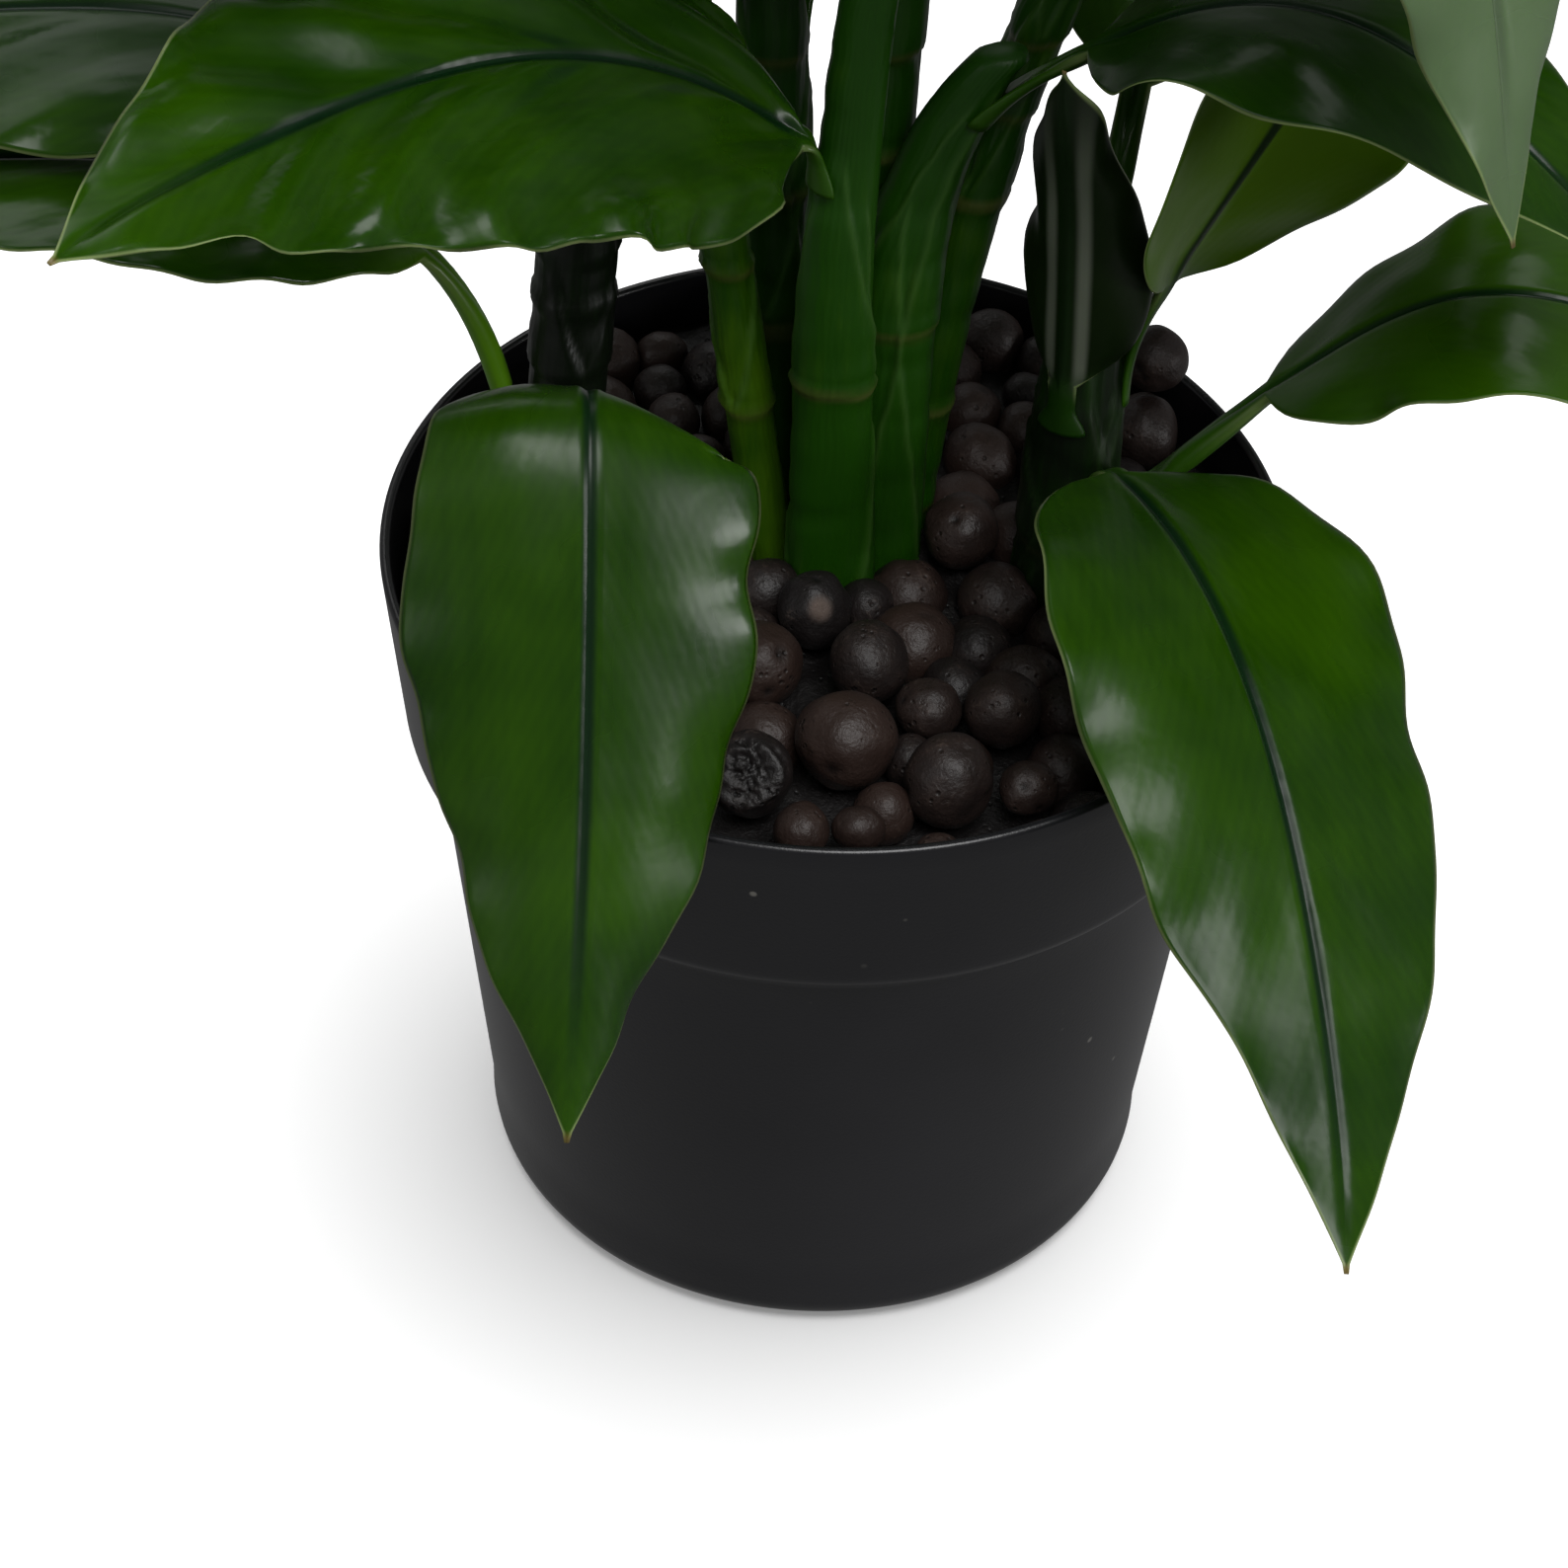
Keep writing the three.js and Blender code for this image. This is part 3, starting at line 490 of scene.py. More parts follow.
# Each half of the blade's section is an arc that starts at the angle fold and bends by curl
# (round the stem in the stalk); pleats along the side veins and soft buckles lift it, a groove
# runs along the midrib above and a rib below. Rings go over the top and back underneath.
def leafSkin(leaf, seed):
    b = leafBuild
    stalk, blade = leaf["stalk"], leaf["blade"]
    length = stalk + blade
    stem = stems[leaf["stem"]]
    reach = stemRadius(stem, leaf["at"]) + b["gap"] + b["ribHalf"]
    azimuth = leaf["az"] * degree
    outward = np.array([math.cos(azimuth), math.sin(azimuth), 0])
    cuts = np.linspace(0, length, 161)
    way, _, _ = leafFrames(leaf, (cuts[1:] + cuts[:-1]) / 2)
    line = np.concatenate([[[0, 0, 0]], np.cumsum(way, 0) * (cuts[1] - cuts[0])])
    line += stemCentre(stem, leaf["at"]) + outward * reach

    bladePart = np.linspace(0, 1, b["bladeRows"]) ** 0.95
    s = np.concatenate([np.linspace(0, stalk, b["stalkRows"], endpoint=False),
                        stalk + blade * bladePart])
    _, up, side = leafFrames(leaf, s)
    point = np.stack([np.interp(s, cuts, line[:, axis]) for axis in range(3)], -1)
    t = np.clip((s - stalk) / blade, 0, 1)
    widest = leaf["base"] / (leaf["base"] + b["tipTaper"])
    profile = (1 - t) ** b["tipTaper"] * t ** leaf["base"]
    profile /= (1 - widest) ** b["tipTaper"] * widest ** leaf["base"]
    stalkHalf = mix(b["stalkBaseHalf"], b["stalkHalf"], smooth(2 * s / stalk))
    half = np.maximum(leaf["width"] / 2 * profile, stalkHalf * (1 - smooth(4 * t)))
    half = np.maximum(half, 0.45)[:, None]
    uneven = sideRipples(s, b["raggedPitch"], seed + 2) * smooth(8 * t)[:, None]
    half = half * (1 + leaf["ragged"] * uneven)
    opening = smooth((s / stalk - 0.5) / 0.7)[:, None]
    curl = leaf["curl"] * degree * smooth(t / leaf["ramp"])[:, None]
    bend = mix(b["stalkBaseHalf"] / reach, -curl, opening)
    bend = np.where(np.abs(bend) < 1e-3, 1e-3, bend)
    fold = leaf["fold"] * degree * opening

    share = np.array([0, .015, .03, .05, .08, .13, .2, .28, .37, .47, .57, .67, .76, .84, .91,
                      .96, 1])
    u = np.concatenate([-share[:0:-1], share])[None]
    across = np.abs(u)
    half = np.where(u < 0, half[:, :1], half[:, 1:])
    x = half * (np.sin(fold + bend * across) - np.sin(fold)) / bend
    wave = leaf["wave"] * u * u * np.sin(2 * math.pi * leaf["waves"] * t + leaf["az"])[:, None]
    wave = wave * smooth(6 * t)[:, None]
    y = half * ((np.cos(fold) - np.cos(fold + bend * across)) / bend + wave)
    middle = (point[:, None] + side[:, None] * (np.sign(u) * x)[..., None]
              + up[:, None] * y[..., None])

    ribDistance = across * half
    tt = t[:, None]
    inBlade = smooth((s / stalk - 0.7) / 0.6)[:, None] * smooth((1 - tt) * 7)
    angle = b["veinAngle"] * degree
    phase = s[:, None] * math.sin(angle) - ribDistance * math.cos(angle)
    uneven = ripples(middle, 70, seed)
    pleat = leaf["pleat"] * np.sin(2 * math.pi * phase / b["pleatPitch"] + 1.6 * uneven
                                   + (u > 0) * 1.3)
    pleat *= smooth(across * 5) * smooth((1.02 - across) * 5) * inBlade
    buckle = leaf["buckle"] * ripples(middle, 62, seed + 1) * inBlade * (0.25 + 0.75 * across)
    frill = sideRipples(s, b["frillPitch"], seed + 3)
    buckle += leaf["frill"] * np.where(u < 0, frill[:, :1], frill[:, 1:]) * across ** 3 * inBlade
    normal = unit(np.cross(np.gradient(middle, axis=0), np.gradient(middle, axis=1)))
    middle = middle + normal * (pleat + buckle)[..., None]

    rounding = np.sqrt(np.clip(1 - ((across - 0.96) / 0.04).clip(0, 1) ** 2, 0, 1))
    leafiness = smooth((s / stalk - 0.55) / 0.8)[:, None]
    freed = smooth((s - b["claspLength"]) / 12)[:, None]
    stalkThick = mix(b["ribHalf"], b["petioleHalf"], freed) * np.sqrt(1 - across ** 2)
    thick = mix(stalkThick, b["lamina"] * mix(1, 0.6, tt) * rounding, leafiness)
    groove = bell(ribDistance, b["grooveHalf"]) * b["grooveDepth"] - 0.25 * bell(
        ribDistance - 2, 0.9)
    groove *= leafiness * smooth((1 - tt) * 3)
    rib = 1.0 * (1 - tt) ** 0.8 * bell(ribDistance, 1.6) * leafiness
    top = middle + normal * (thick - groove)[..., None]
    under = middle - normal * (thick + rib)[..., None]
    edge = top[:, [0, -1]] * 0.5 + under[:, [0, -1]] * 0.5
    top[:, [0, -1]] = edge
    rings = np.concatenate([top, under[:, -2:0:-1]], 1)

    def around(values):
        values = np.broadcast_to(values, middle.shape[:2])
        return skinField(np.concatenate([values, values[:, -2:0:-1]], 1))

    columns = u.shape[1]
    below = np.zeros((len(s), rings.shape[1]))
    below[:, columns:] = 1
    # creases, the sheen amount and the gloss amount carry painted shade, painted pale sheen and
    # painted shiny lines to the finish
    fields = {
        "ribDistance": around(ribDistance), "edgeDistance": around((1 - across) * half),
        "along": around(tt), "leafPhase": around(phase), "blade": around(leafiness),
        "sideways": around(u * half), "lengthways": around(s[:, None]),
        "underside": skinField(below), "tone": np.float64(leaf["tone"]),
        "stalkTone": np.float64(leaf["stalkTone"]), "creases": np.float64(leaf["creases"]),
        "bloom": np.float64(leaf["bloom"]), "streaks": np.float64(leaf["streaks"]),
    }
    return (*skinOf(rings), fields)


# Deep to fresh green by clouds and long streaky noise; over it in turn the midrib, painted shade
# along the creases, the underside (olive, or dark on dark leaves; the olive partly painted light
# shining through the blade, with painted shade along its rib), painted pale sheen, painted shiny
# lines, stalk, margin and tip, each faded in by its own distance.
def leafFinish():
    c = leafColours
    material, shader, wire = newFinish("leafSkin", IOR=1.46, Specular_IOR_Level=0.27,
                                       Subsurface_Weight=0.1, Subsurface_Scale=0.002,
                                       Subsurface_Radius=plantGlow)
    place = wire.node("TexCoord", {}, {}, "Object")
    lengthways, sideways = wire.field("lengthways"), wire.field("sideways")
    flat = wire.node("CombineXYZ", {}, {"X": sideways * 0.22, "Y": lengthways * 0.02})
    streak = wire.noise(flat, 1.6, 3.0, 0.6)
    cloud = wire.noise(place, 24.0, 3.0)
    tone, under, blade = wire.field("tone"), wire.field("underside"), wire.field("blade")
    vein = wire.math("SINE", wire.field("leafPhase") * 2.6)
    rib = wire.field("ribDistance")
    light = (streak * 0.25 + cloud * 1.2 + tone * 0.5 - 0.52 + vein * 0.02).step(0.1, 0.95)
    colour = light.pick(shade(*c["deep"]), shade(*c["fresh"]))
    ribLine = (1 - rib.step(0.5, 1.9)) * (1 - wire.field("along").step(0.7, 1.0))
    colour = (ribLine * 0.9).pick(colour, shade(*c["rib"]))
    # painted shade: dark lines along the folds, in the rib colour
    foldShade = wire.math("SINE", wire.field("leafPhase") * c["creasePitch"]).step(0.55, 1.0)
    foldShade = foldShade * (1 - rib.step(2.0, 17.0)) * wire.field("creases") * blade
    foldShade = foldShade * (1 - wire.field("along").step(0.35, 0.7)) * streak.step(0.3, 0.6)
    colour = (foldShade * 0.6).pick(colour, shade(*c["rib"]))
    # underside: its own olive, partly painted light shining through the blade, and painted shade
    # along the rib where it blocks that light; dark leaves get the dark underside
    lower = tone.step(0.05, 0.5).pick(shade(*c["underDeep"]), shade(*c["under"]))
    lower = (1 - rib.step(0.8, 2.0)).pick(lower, shade(*c["underRibShade"]))
    colour = under.pick(colour, lower)
    # painted sheen: pale grey-green haze laid over the blade's colour
    bloom = wire.field("bloom") * (cloud * 0.7 + 0.45) * blade
    colour = bloom.pick(colour, shade(*c["bloom"]))
    # painted gloss: two shiny grey lines painted beside the rib
    line = 1 - wire.math("ABSOLUTE", rib - c["paintedGlossFrom"]).step(0.4, 2.0)
    line = line * wire.field("streaks") * blade * (1 - wire.field("along").step(0.5, 1.0))
    colour = (line * 0.6).pick(colour, shade(*c["streak"]))
    stalk = wire.field("stalkTone").step(-1.0, 0.5).pick(shade(*c["deep"]), shade(*c["stalk"]))
    stalk = wire.field("stalkTone").step(0.5, 1.0).pick(stalk, shade(*c["stalkBright"]))
    colour = blade.pick(stalk, colour)
    margin = (1 - wire.field("edgeDistance").step(0.15, 0.75)) * blade
    colour = (margin * 0.85).pick(colour, shade(*c["margin"]))
    tip = wire.field("along").step(0.985, 0.998)
    colour = (tip * 0.7).pick(colour, shade(*c["tip"]))
    glossPatch = wire.noise(place, 34.0, 2.0).step(0.35, 0.65)
    roughness = glossPatch * 0.16 + under * 0.12 + (c["roughness"] - 0.1)
    height = vein * 0.025 + streak * 0.08 + wire.noise(place, 80.0, 3.0) * 1.6
    plugFinish(shader, wire, colour, roughness, height, 0.3, 0.5)
    return material


leafMaterial = leafFinish()
for number, (name, own) in enumerate(leaves.items()):
    leaf = {**plainLeaf, **own}
    skin = leafSkin(leaf, leafBuild["seed"] + 3 * number)
    makePiece(name + "_detail", [skin], leafMaterial, name)
print("leaves:", len(leaves))


# Sheaths are raised by sheathThickness: each starts at a ring round the whole stem and narrows
# upwards to the stalk it carries, with a raised pale edge; nodes swell where rings are.
def stemSkin(stem, seed):
    top = stem["top"] + stem["radii"][2] * 0.6
    z = np.arange(stemFoot, top, stemStep)
    theta = np.linspace(0, 2 * math.pi, stemSides, endpoint=False)[None]
    centre = stemCentre(stem, z)
    radius = stemRadius(stem, np.minimum(z, stem["top"]))[:, None]
    height = z[:, None]
    raised = np.zeros((len(z), stemSides))
    edge = np.zeros_like(raised)
    scar = np.zeros_like(raised)
    wraps = list(stem.get("wraps", ()))
    for leaf in leaves.values():
        if stems[leaf["stem"]] is stem:
            wraps.append((leaf["az"], leaf["at"] - sheathLength, leaf["at"] + 6))
    wobble = ripples(np.stack([np.cos(theta) * 8 + 0 * height, np.sin(theta) * 8 + 0 * height,
                               height + 0 * theta], -1), 14, seed)
    for azimuth, foot, head in wraps:
        t = np.clip((height - foot) / (head - foot), 0, 1)
        halfWidth = mix(math.pi * 1.05, leafBuild["stalkBaseHalf"] / radius, t ** 0.8)
        away = np.abs((theta - azimuth * degree + math.pi) % (2 * math.pi) - math.pi)
        inside = (halfWidth - away) * radius + 0.25 * wobble
        started = smooth((height - foot + 0.2 * wobble) / 1.6 + 0.5)
        ended = smooth((head - height) / 6 + 0.3)
        raised += sheathThickness * smooth(inside / 0.8 + 0.5) * started * ended
        edge = np.maximum(edge, bell(inside - 0.5, 0.55) * started * ended * (t > 0.04))
        scar = np.maximum(scar, bell(height - foot, 0.8) * (away < halfWidth))
    for ring in stem["rings"]:
        raised += 0.55 * bell(height - ring + 0.4 * wobble, 1.6)
        raised -= 0.3 * bell(height - ring - 2.4, 1)
        scar = np.maximum(scar, bell(height - ring + 0.3 * wobble, 0.9))
    creases = 0.22 * np.clip(ripples(np.stack([theta * 5 + 0 * height, height * 2.6 + 0 * theta,
                                               0 * raised], -1), 30, seed + 1), 0, 2)
    grain = 0.07 * np.cos(theta * 26 + 2 * wobble)
    flatten = 1 + stem["flat"] * np.cos(2 * theta)
    closing = np.sqrt(np.clip((top - height) / (top - stem["top"]) + 0.05, 0, 1))
    reach = (radius * flatten + raised - creases + grain) * closing
    rings = np.stack([centre[:, :1] + reach * np.cos(theta), centre[:, 1:2] + reach * np.sin(theta),
                      height + 0 * theta], -1)
    fields = {"edge": skinField(edge), "scar": skinField(scar), "tone": np.float64(stem["tone"])}
    return (*skinOf(rings), fields)


# Dark to green to yellow by tone, with paler sheath edges and scars at the rings.
def stemFinish():
    c = stemColours
    material, shader, wire = newFinish("stemSkin", IOR=1.45, Specular_IOR_Level=0.3,
                                       Subsurface_Weight=0.06, Subsurface_Scale=0.003,
                                       Subsurface_Radius=plantGlow)
    place = wire.node("TexCoord", {}, {}, "Object")
    long = wire.node("Mapping", {}, {"Vector": place, "Scale": (1.0, 1.0, 0.12)})
    streak = wire.noise(long, 420.0, 3.0)
    cloud = wire.noise(place, 40.0, 3.0)
    tone = wire.field("tone") + (cloud - 0.5) * 0.5 + (streak - 0.5) * 0.25
    low = tone.step(0.0, 0.5).pick(shade(*c["dark"]), shade(*c["green"]))
    colour = tone.step(0.5, 1.05).pick(low, shade(*c["yellow"]))
    bright = wire.field("tone").step(0.0, 0.4)
    colour = (wire.field("edge") * bright * 0.2).pick(colour, shade(*c["edge"]))
    colour = (wire.field("scar") * bright * 0.35).pick(colour, shade(*c["scar"]))
    roughness = cloud * 0.2 + (c["roughness"] - 0.1)
    plugFinish(shader, wire, colour, roughness, streak, 0.25, 0.5)
    return material


stemMaterial = stemFinish()
for number, (name, stem) in enumerate(stems.items()):
    skin = stemSkin(stem, stemSeed + 3 * number)
    makePiece(name + "_detail", [skin], stemMaterial, name)
print("stems:", len(stems))


bedShape = {
    "depth": 11, "mound": 5, "tilt": 6, "proud": 0.45, "smallCount": 108, "smallest": 10.0,
    "largest": 17.0, "seed": 7, "baseDrop": 5.5, "rounds": 160, "bigMesh": (44, 64),
    "smallMesh": (13, 20), "bigSeed": 300, "smallSeed": 500, "packHeight": 148.0,
}
# The pit colour is partly the black core of broken pebbles and partly painted shade in dents, pores
# and under the pebbles.
clayColours = {
    "brown": (46, 33, 28), "black": (22, 18, 18), "dust": (92, 78, 70), "pit": (10, 8, 8),
    "roughness": 0.5,
}
# x, y and diameter; lift raises the one that lies on its neighbours; broken: porous inside shows;
# tone: 0 black to 1 brown
pebbles = [
    {"x": 3, "y": -52, "size": 20, "tone": 0.95},
    {"x": 23, "y": -60, "size": 18, "tone": 0.45},
    {"x": -4, "y": -16.5, "size": 15, "tone": 0.02, "dust": 1},
    {"x": -14, "y": -32, "size": 17, "tone": 0.9},
    {"x": -15, "y": -60, "size": 17, "tone": 0.2, "broken": 1},
    {"x": 7, "y": -31, "size": 16, "tone": 0.35},
    {"x": 25, "y": 7, "size": 15, "tone": 0.6},
    {"x": -5, "y": -72, "size": 11, "tone": 0.8},
    {"x": 6, "y": -71, "size": 10, "tone": 0.7},
    {"x": 38, "y": -59, "size": 11, "tone": 0.6},
    {"x": 33, "y": -41, "size": 15, "tone": 0.5},
    {"x": 19, "y": -41, "size": 12, "tone": 0.5},
    {"x": 62, "y": 40, "size": 15, "tone": 0.5},
    {"x": 63, "y": 47, "size": 13, "lift": 14, "tone": 0.55},
]


# surface of the bed: level + mound (1 - across^2) + tilt y / rim radius
def bedHeight(x, y):
    across = np.hypot(x, y) / potShape["rimRadius"]
    level = potShape["height"] - bedShape["depth"]
    rise = bedShape["tilt"] * y / potShape["rimRadius"]
    return level + bedShape["mound"] * (1 - across ** 2) + rise


# A ball whose radius varies with direction: radius times 1 + soft lumps - dents + one nub, then
# stretched unevenly. Broken ones are cut flat on one side and covered with pits there.
def pebbleSkin(centre, radius, seed, tone, rows, columns, broken=0, dust=0):
    draw = np.random.default_rng(seed)
    polar = np.linspace(0, math.pi, rows + 2)[1:-1, None]
    around = np.linspace(0, 2 * math.pi, columns, endpoint=False)[None]
    ball = np.stack([np.sin(polar) * np.cos(around), np.sin(polar) * np.sin(around),
                     np.cos(polar) + 0 * around], -1)
    lumps = 0.05 * ripples(ball, 2.6, seed) + 0.018 * ripples(ball, 0.9, seed + 1)
    spots = unit(draw.normal(size=(5, 3)))    # three dents and a nub; the last stays smooth
    apart = np.arccos(np.clip(ball @ spots.T, -1, 1))
    dents = 0.09 * bell(apart[..., 0], 0.2) + 0.07 * bell(apart[..., 1], 0.14)
    dents = dents + 0.05 * bell(apart[..., 2], 0.1) - 0.06 * bell(apart[..., 3], 0.22)
    reach = 1 + lumps - dents
    # pit marks two dents, and on broken ones the cut face and its pores: painted shade in the dents
    # and pores, partly the black core on the cut face
    pit = bell(apart[..., 0], 0.16) * 0.8 + bell(apart[..., 1], 0.11)
    if broken:
        facing = unit(np.array([-0.1, -0.75, 0.65]))
        height = ball @ facing
        reach = np.where(height > 0.45, np.minimum(reach, 0.62 / np.maximum(height, 0.1)), reach)
        holes = unit(draw.normal(size=(90, 3)) + facing * 2.2)
        gap = np.arccos(np.clip(ball @ holes.T, -1, 1))
        pores = bell(gap, draw.uniform(0.04, 0.11, 90)).max(-1) * smooth((height - 0.35) * 5)
        reach = reach - 0.13 * pores
        pit = np.maximum(pit, np.maximum(pores, 0.55 * smooth((height - 0.4) * 6)))
    stretch = 1 + draw.uniform(-0.07, 0.07, 3)
    rings = centre + ball * reach[..., None] * radius * stretch
    patchSide = unit(np.array([0.2, -0.75, 0.62]))
    patch = dust * smooth(1.5 - np.arccos(np.clip(ball @ patchSide, -1, 1)) * 3.2)
    fields = {"pit": skinField(pit), "tone": np.float64(tone), "dust": skinField(patch),
              "kind": np.float64(draw.uniform())}
    return (*skinOf(rings), fields)


# Small pebbles: random discs pushed apart until they hardly overlap one another, the large
# pebbles, the stems or the wall, then set at the height of the bed.
def smallPebbles():
    b = bedShape
    draw = np.random.default_rng(b["seed"])
    size = draw.uniform(b["smallest"], b["largest"], b["smallCount"]) / 2
    wall = potRadius(potShape["height"] - b["depth"]) - potShape["wall"] - 0.6
    spot = draw.uniform(-1, 1, (b["smallCount"] * 3, 2)) * wall
    spot = spot[np.hypot(*spot.T) < wall - 6][:b["smallCount"]]
    fixed = np.array([[p["x"], p["y"], p["size"] / 2] for p in pebbles if "lift" not in p]
                     + [[*stemCentre(stem, b["packHeight"])[:2], stem["radii"][0] + 0.5]
                        for stem in stems.values()])
    for _ in range(b["rounds"]):
        gap = spot[:, None] - spot[None]
        far = np.hypot(gap[..., 0], gap[..., 1]) + np.eye(len(spot)) * 1e3
        push = np.clip((size[:, None] + size[None]) * 0.96 - far, 0, None) / far * 0.35
        spot = spot + (gap * push[..., None]).sum(1)
        gap = spot[:, None] - fixed[None, :, :2]
        far = np.hypot(gap[..., 0], gap[..., 1]) + 1e-6
        push = np.clip((size[:, None] + fixed[None, :, 2]) * 0.93 - far, 0, None) / far
        spot = spot + (gap * push[..., None]).sum(1)
        away = np.hypot(*spot.T)
        spot = spot * np.minimum(1, (wall - size) / away)[:, None]
    level = bedHeight(*spot.T) - size * 0.55 + draw.uniform(-1.6, 2.2, len(size))
    tones = draw.uniform(0.15, 0.95, len(size))
    return [pebbleSkin(np.array([*spot[i], level[i]]), size[i], b["smallSeed"] + 5 * i, tones[i],
                       *b["smallMesh"]) for i in range(len(size))]


# a disc of rings under the pebbles, uneven and closed below, dark all over as painted shadow
# between the pebbles
def bedBase():
    wall = potRadius(potShape["height"] - bedShape["depth"] - 8) - potShape["wall"] - 0.4
    around = np.linspace(0, 2 * math.pi, 96, endpoint=False)[None]
    away = np.concatenate([[0.02, wall * 0.5], np.linspace(wall, 1.0, 36)])[:, None]
    x, y = away * np.cos(around), away * np.sin(around)
    flat = np.stack([x, y, 0 * x], -1)
    height = bedHeight(x, y) - bedShape["baseDrop"] + 0.9 * ripples(flat, 9, 3)
    height[:2] = potShape["height"] - 32
    rings = np.stack([x, y, height], -1)
    # painted shadow: the disc takes the dark pit colour almost fully
    fields = {"pit": np.float64(0.85), "tone": np.float64(0.2), "dust": np.float64(0),
              "kind": np.float64(0)}
    return (*skinOf(rings), fields)


# Fired clay: black to brown by tone and clouds, dusty patches, and darkened pits, dents and open
# pores: painted shade there, partly the black core of broken pebbles.
def clayFinish():
    c = clayColours
    material, shader, wire = newFinish("firedClay", IOR=1.5, Specular_IOR_Level=0.4)
    place = wire.node("TexCoord", {}, {}, "Object")
    kind = wire.field("kind")
    shifted = wire.node("VectorMath", {"operation": "ADD"}, {0: place, 1: wire.node(
        "CombineXYZ", {}, {"X": kind * 7.0, "Y": kind * 3.0, "Z": kind})})
    cloud = wire.noise(shifted, 130.0, 4.0, 0.6)
    grain = wire.noise(shifted, 900.0, 3.0, 0.6)
    pores = wire.node("TexVoronoi", {}, {"Vector": shifted, "Scale": 520.0}, "Distance")
    hole = 1 - pores.step(0.1, 0.34)
    open = cloud.step(0.5, 0.62)
    tone = wire.field("tone") + (cloud - 0.5) * 0.9
    colour = tone.step(0.0, 1.0).pick(shade(*c["black"]), shade(*c["brown"]))
    dusty = wire.field("dust") * 0.85 + (grain * cloud).step(0.3, 0.5) * 0.35
    colour = dusty.pick(colour, shade(*c["dust"]))
    # painted shade: dents, pits, pores and the disc under the pebbles darkened towards the pit
    # colour, partly the black core of broken pebbles
    dark = wire.field("pit") + hole * open * 0.55
    colour = dark.pick(colour, shade(*c["pit"]))
    roughness = cloud * 0.3 + wire.field("dust") * 0.2 + (c["roughness"] - 0.15)
    height = cloud * 1.8 + grain * 0.8 - hole * open * 1.2
    plugFinish(shader, wire, colour, roughness, height, 0.5, 0.6)
    return material


clayMaterial = clayFinish()
for number, own in enumerate(pebbles):
    radius = own["size"] / 2
    level = bedHeight(own["x"], own["y"]) + bedShape["proud"] * radius + own.get("lift", 0)
    skin = pebbleSkin(np.array([own["x"], own["y"], level]), radius,
                      bedShape["bigSeed"] + 4 * number, own["tone"], *bedShape["bigMesh"],
                      own.get("broken", 0), own.get("dust", 0))
    makePiece(f"pebble_{number + 1}_detail", [skin], clayMaterial, f"pebble_{number + 1}")
makePiece("pebble_bed_detail", [bedBase(), *smallPebbles()], clayMaterial, "pebble_bed")
print("pebbles:", len(pebbles), "large,", bedShape["smallCount"], "small")


# The growing medium stays the CAD node, which the pebbles hide, in dark brown crumbs.
def peatFinish():
    material, shader, wire = newFinish("peat", IOR=1.4)
    place = wire.node("TexCoord", {}, {}, "Object")
    crumb = wire.noise(place, 260.0, 5.0, 0.7)
    colour = crumb.step(0.3, 0.7).pick(shade(26, 19, 14), shade(64, 46, 32))
    plugFinish(shader, wire, colour, crumb * 0.1 + 0.85, crumb, 2.0, 0.8)
    return material


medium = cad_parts["growing_medium"]
medium.data.materials.clear()
medium.data.materials.append(peatFinish())


# A white floor, four soft lamps and a pale world.
studio = {
    "floorColour": (0.9, 0.9, 0.9, 1), "floorGlow": 0.2, "worldColour": (1, 1, 1, 1),
    "worldStrength": 0.2,
    "floorSide": 12.0, "aim": (0, 0, 0.2),
    # name: place in metres, size in metres, watts
    "lights": {
        "frontBox": ((0.45, -1.1, 2.2), 1.3, 42),
        "backBox": ((-0.3, 1.0, 1.9), 1.6, 13),
        "rightBox": ((1.75, -0.75, 0.5), 0.5, 10),
        "leftBox": ((-1.5, -1.1, 0.8), 0.6, 3),
    },
    # a wide soft sun for the floor alone, shaded by the pot alone
    "floorSunFrom": (0.13, 0.07, 1.0), "floorSunAngle": 66, "floorSunStrength": 3.9,
}
bpy.ops.mesh.primitive_plane_add(size=studio["floorSide"])
floor = bpy.context.object
floor.name = "studio_floor"
floorMaterial, floorShader, _ = newFinish("whiteSweep", Roughness=0.9, Specular_IOR_Level=0.0)
floorShader.inputs["Base Color"].default_value = studio["floorColour"]
floorShader.inputs["Emission Color"].default_value = (1, 1, 1, 1)
floorShader.inputs["Emission Strength"].default_value = studio["floorGlow"]
floor.visible_diffuse = floor.visible_glossy = False    # its own light stays off the plant
floor.data.materials.append(floorMaterial)

world = bpy.data.worlds.new("studioWorld")
world.use_nodes = True
world.node_tree.nodes["Background"].inputs["Color"].default_value = studio["worldColour"]
world.node_tree.nodes["Background"].inputs["Strength"].default_value = studio["worldStrength"]
bpy.context.scene.world = world
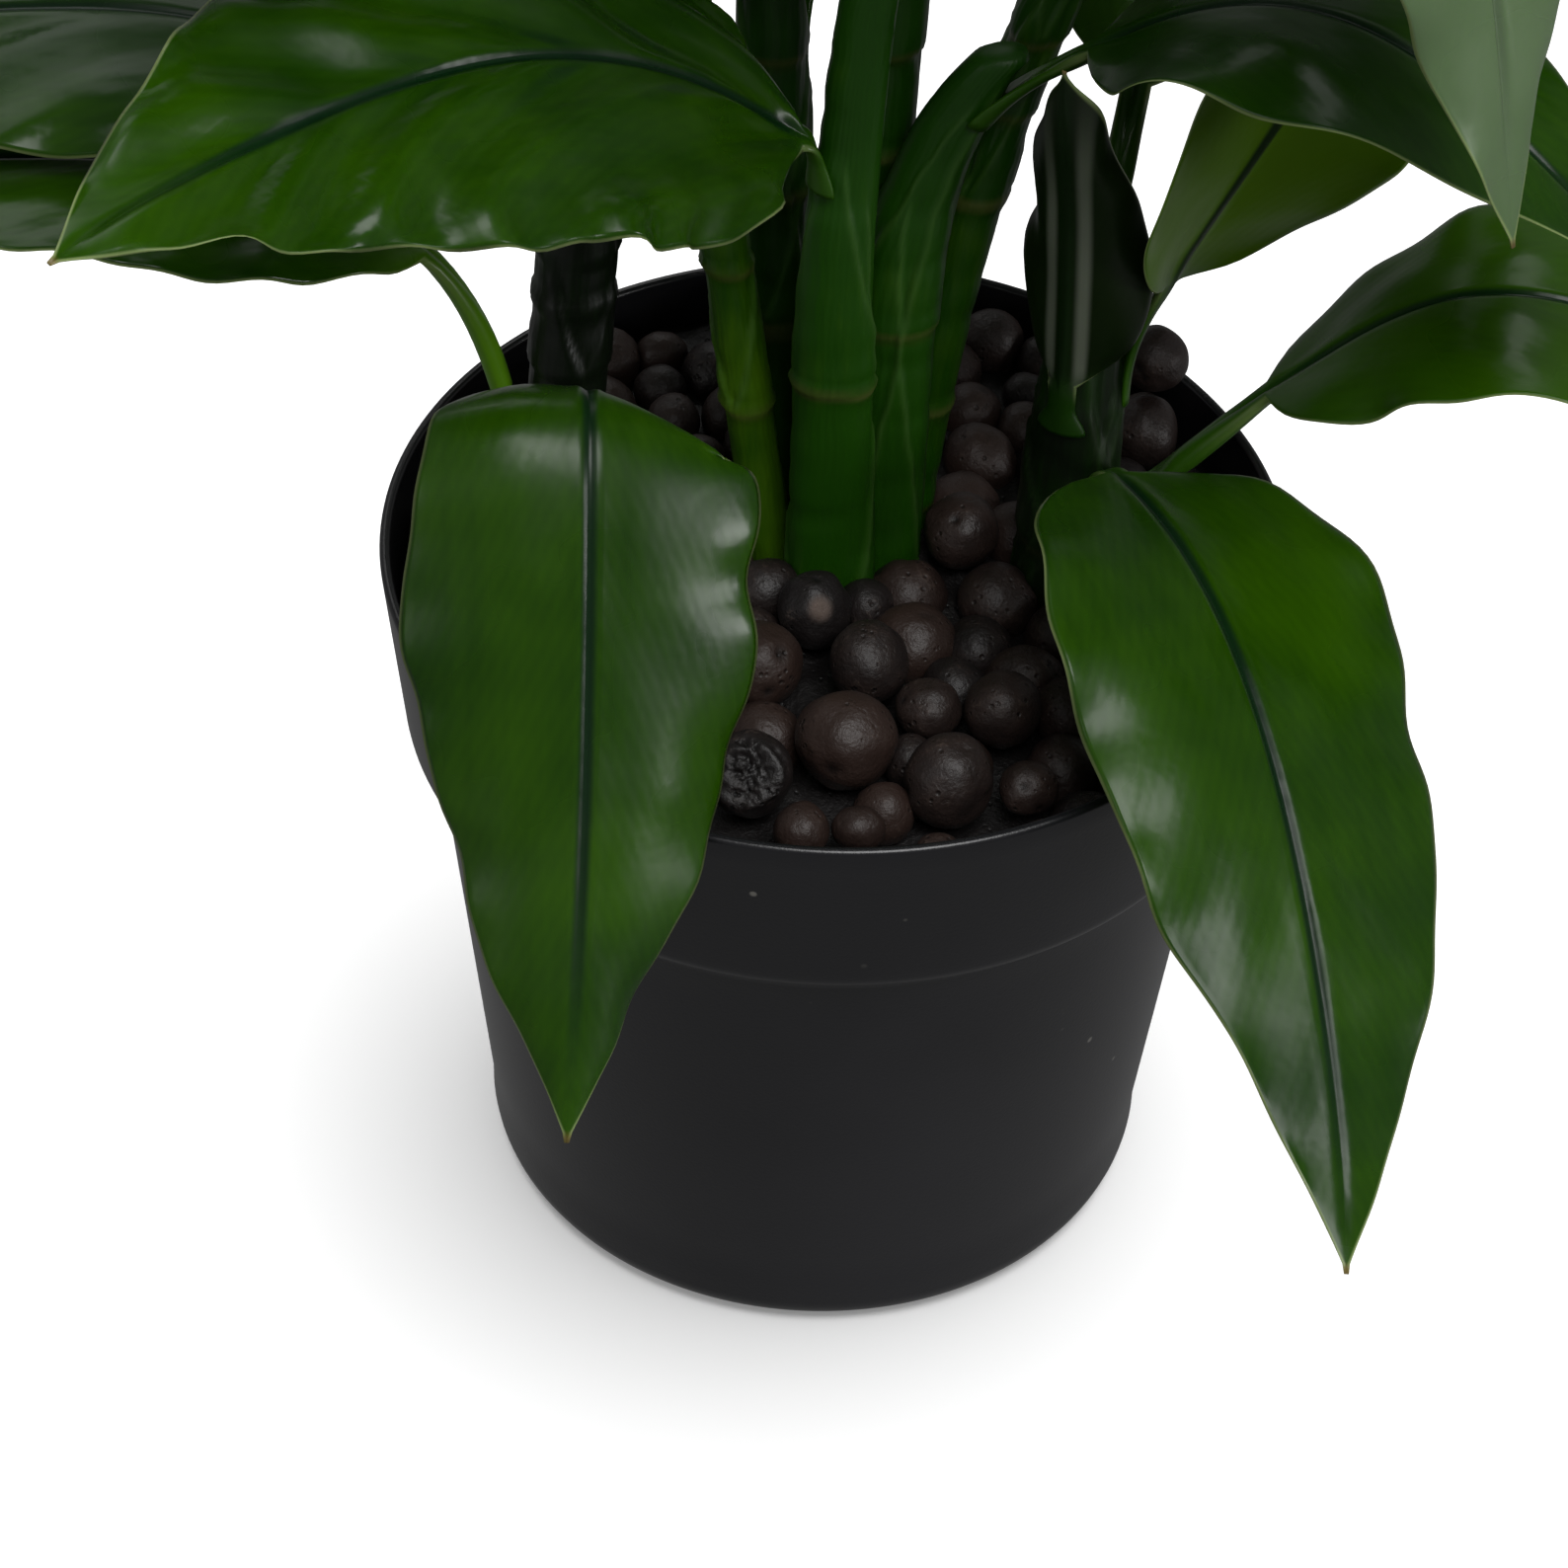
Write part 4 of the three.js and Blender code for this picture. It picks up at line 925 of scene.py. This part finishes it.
# The lamps light all but the floor; the floor has its own sun, which only the pot shades.
exceptFloor, onlyFloor, onlyPot = (bpy.data.collections.new(name) for name in (
    "exceptFloor", "onlyFloor", "onlyPot"))
exceptFloor.objects.link(floor)
exceptFloor.collection_objects[0].light_linking.link_state = "EXCLUDE"
onlyFloor.objects.link(floor)
onlyPot.objects.link(bpy.data.objects["pot_detail"])
for name, (place, size, watts) in studio["lights"].items():
    lamp = bpy.data.lights.new(name, "AREA")
    lamp.size = size
    lamp.energy = watts
    holder = bpy.data.objects.new(name, lamp)
    holder.location = place
    aim = Vector(studio["aim"]) - Vector(place)
    holder.rotation_euler = aim.to_track_quat("-Z", "Y").to_euler()
    holder.light_linking.receiver_collection = exceptFloor
    bpy.context.scene.collection.objects.link(holder)
sun = bpy.data.lights.new("floorSun", "SUN")
sun.energy, sun.angle = studio["floorSunStrength"], studio["floorSunAngle"] * degree
sunHolder = bpy.data.objects.new("floorSun", sun)
sunHolder.rotation_euler = Vector(studio["floorSunFrom"]).to_track_quat("Z", "Y").to_euler()
sunHolder.light_linking.receiver_collection = onlyFloor
sunHolder.light_linking.blocker_collection = onlyPot
bpy.context.scene.collection.objects.link(sunHolder)
bpy.context.scene.view_settings.view_transform = "Standard"


# The camera looks towards +Y and down, turned a little about its own axis.
cameraView = {"place": (-0.00849, -0.91023, 0.93697), "down": 43.0, "tilt": 2.09, "lens": 139.46}
down, tilt = cameraView["down"] * degree, cameraView["tilt"] * degree
right = Vector((1, 0, 0))
upward = Vector((0, math.sin(down), math.cos(down)))
ahead = Vector((0, math.cos(down), -math.sin(down)))
axisX = right * math.cos(tilt) + upward * math.sin(tilt)
axisY = upward * math.cos(tilt) - right * math.sin(tilt)
turned = Matrix((axisX, axisY, -ahead)).transposed().to_4x4()
lens = bpy.data.cameras.new("studioCamera")
lens.lens, lens.sensor_width = cameraView["lens"], 36
camera = bpy.data.objects.new("studioCamera", lens)
camera.matrix_world = Matrix.Translation(cameraView["place"]) @ turned
bpy.context.scene.collection.objects.link(camera)
bpy.context.scene.camera = camera
print("studio: camera and", len(studio["lights"]), "lights")
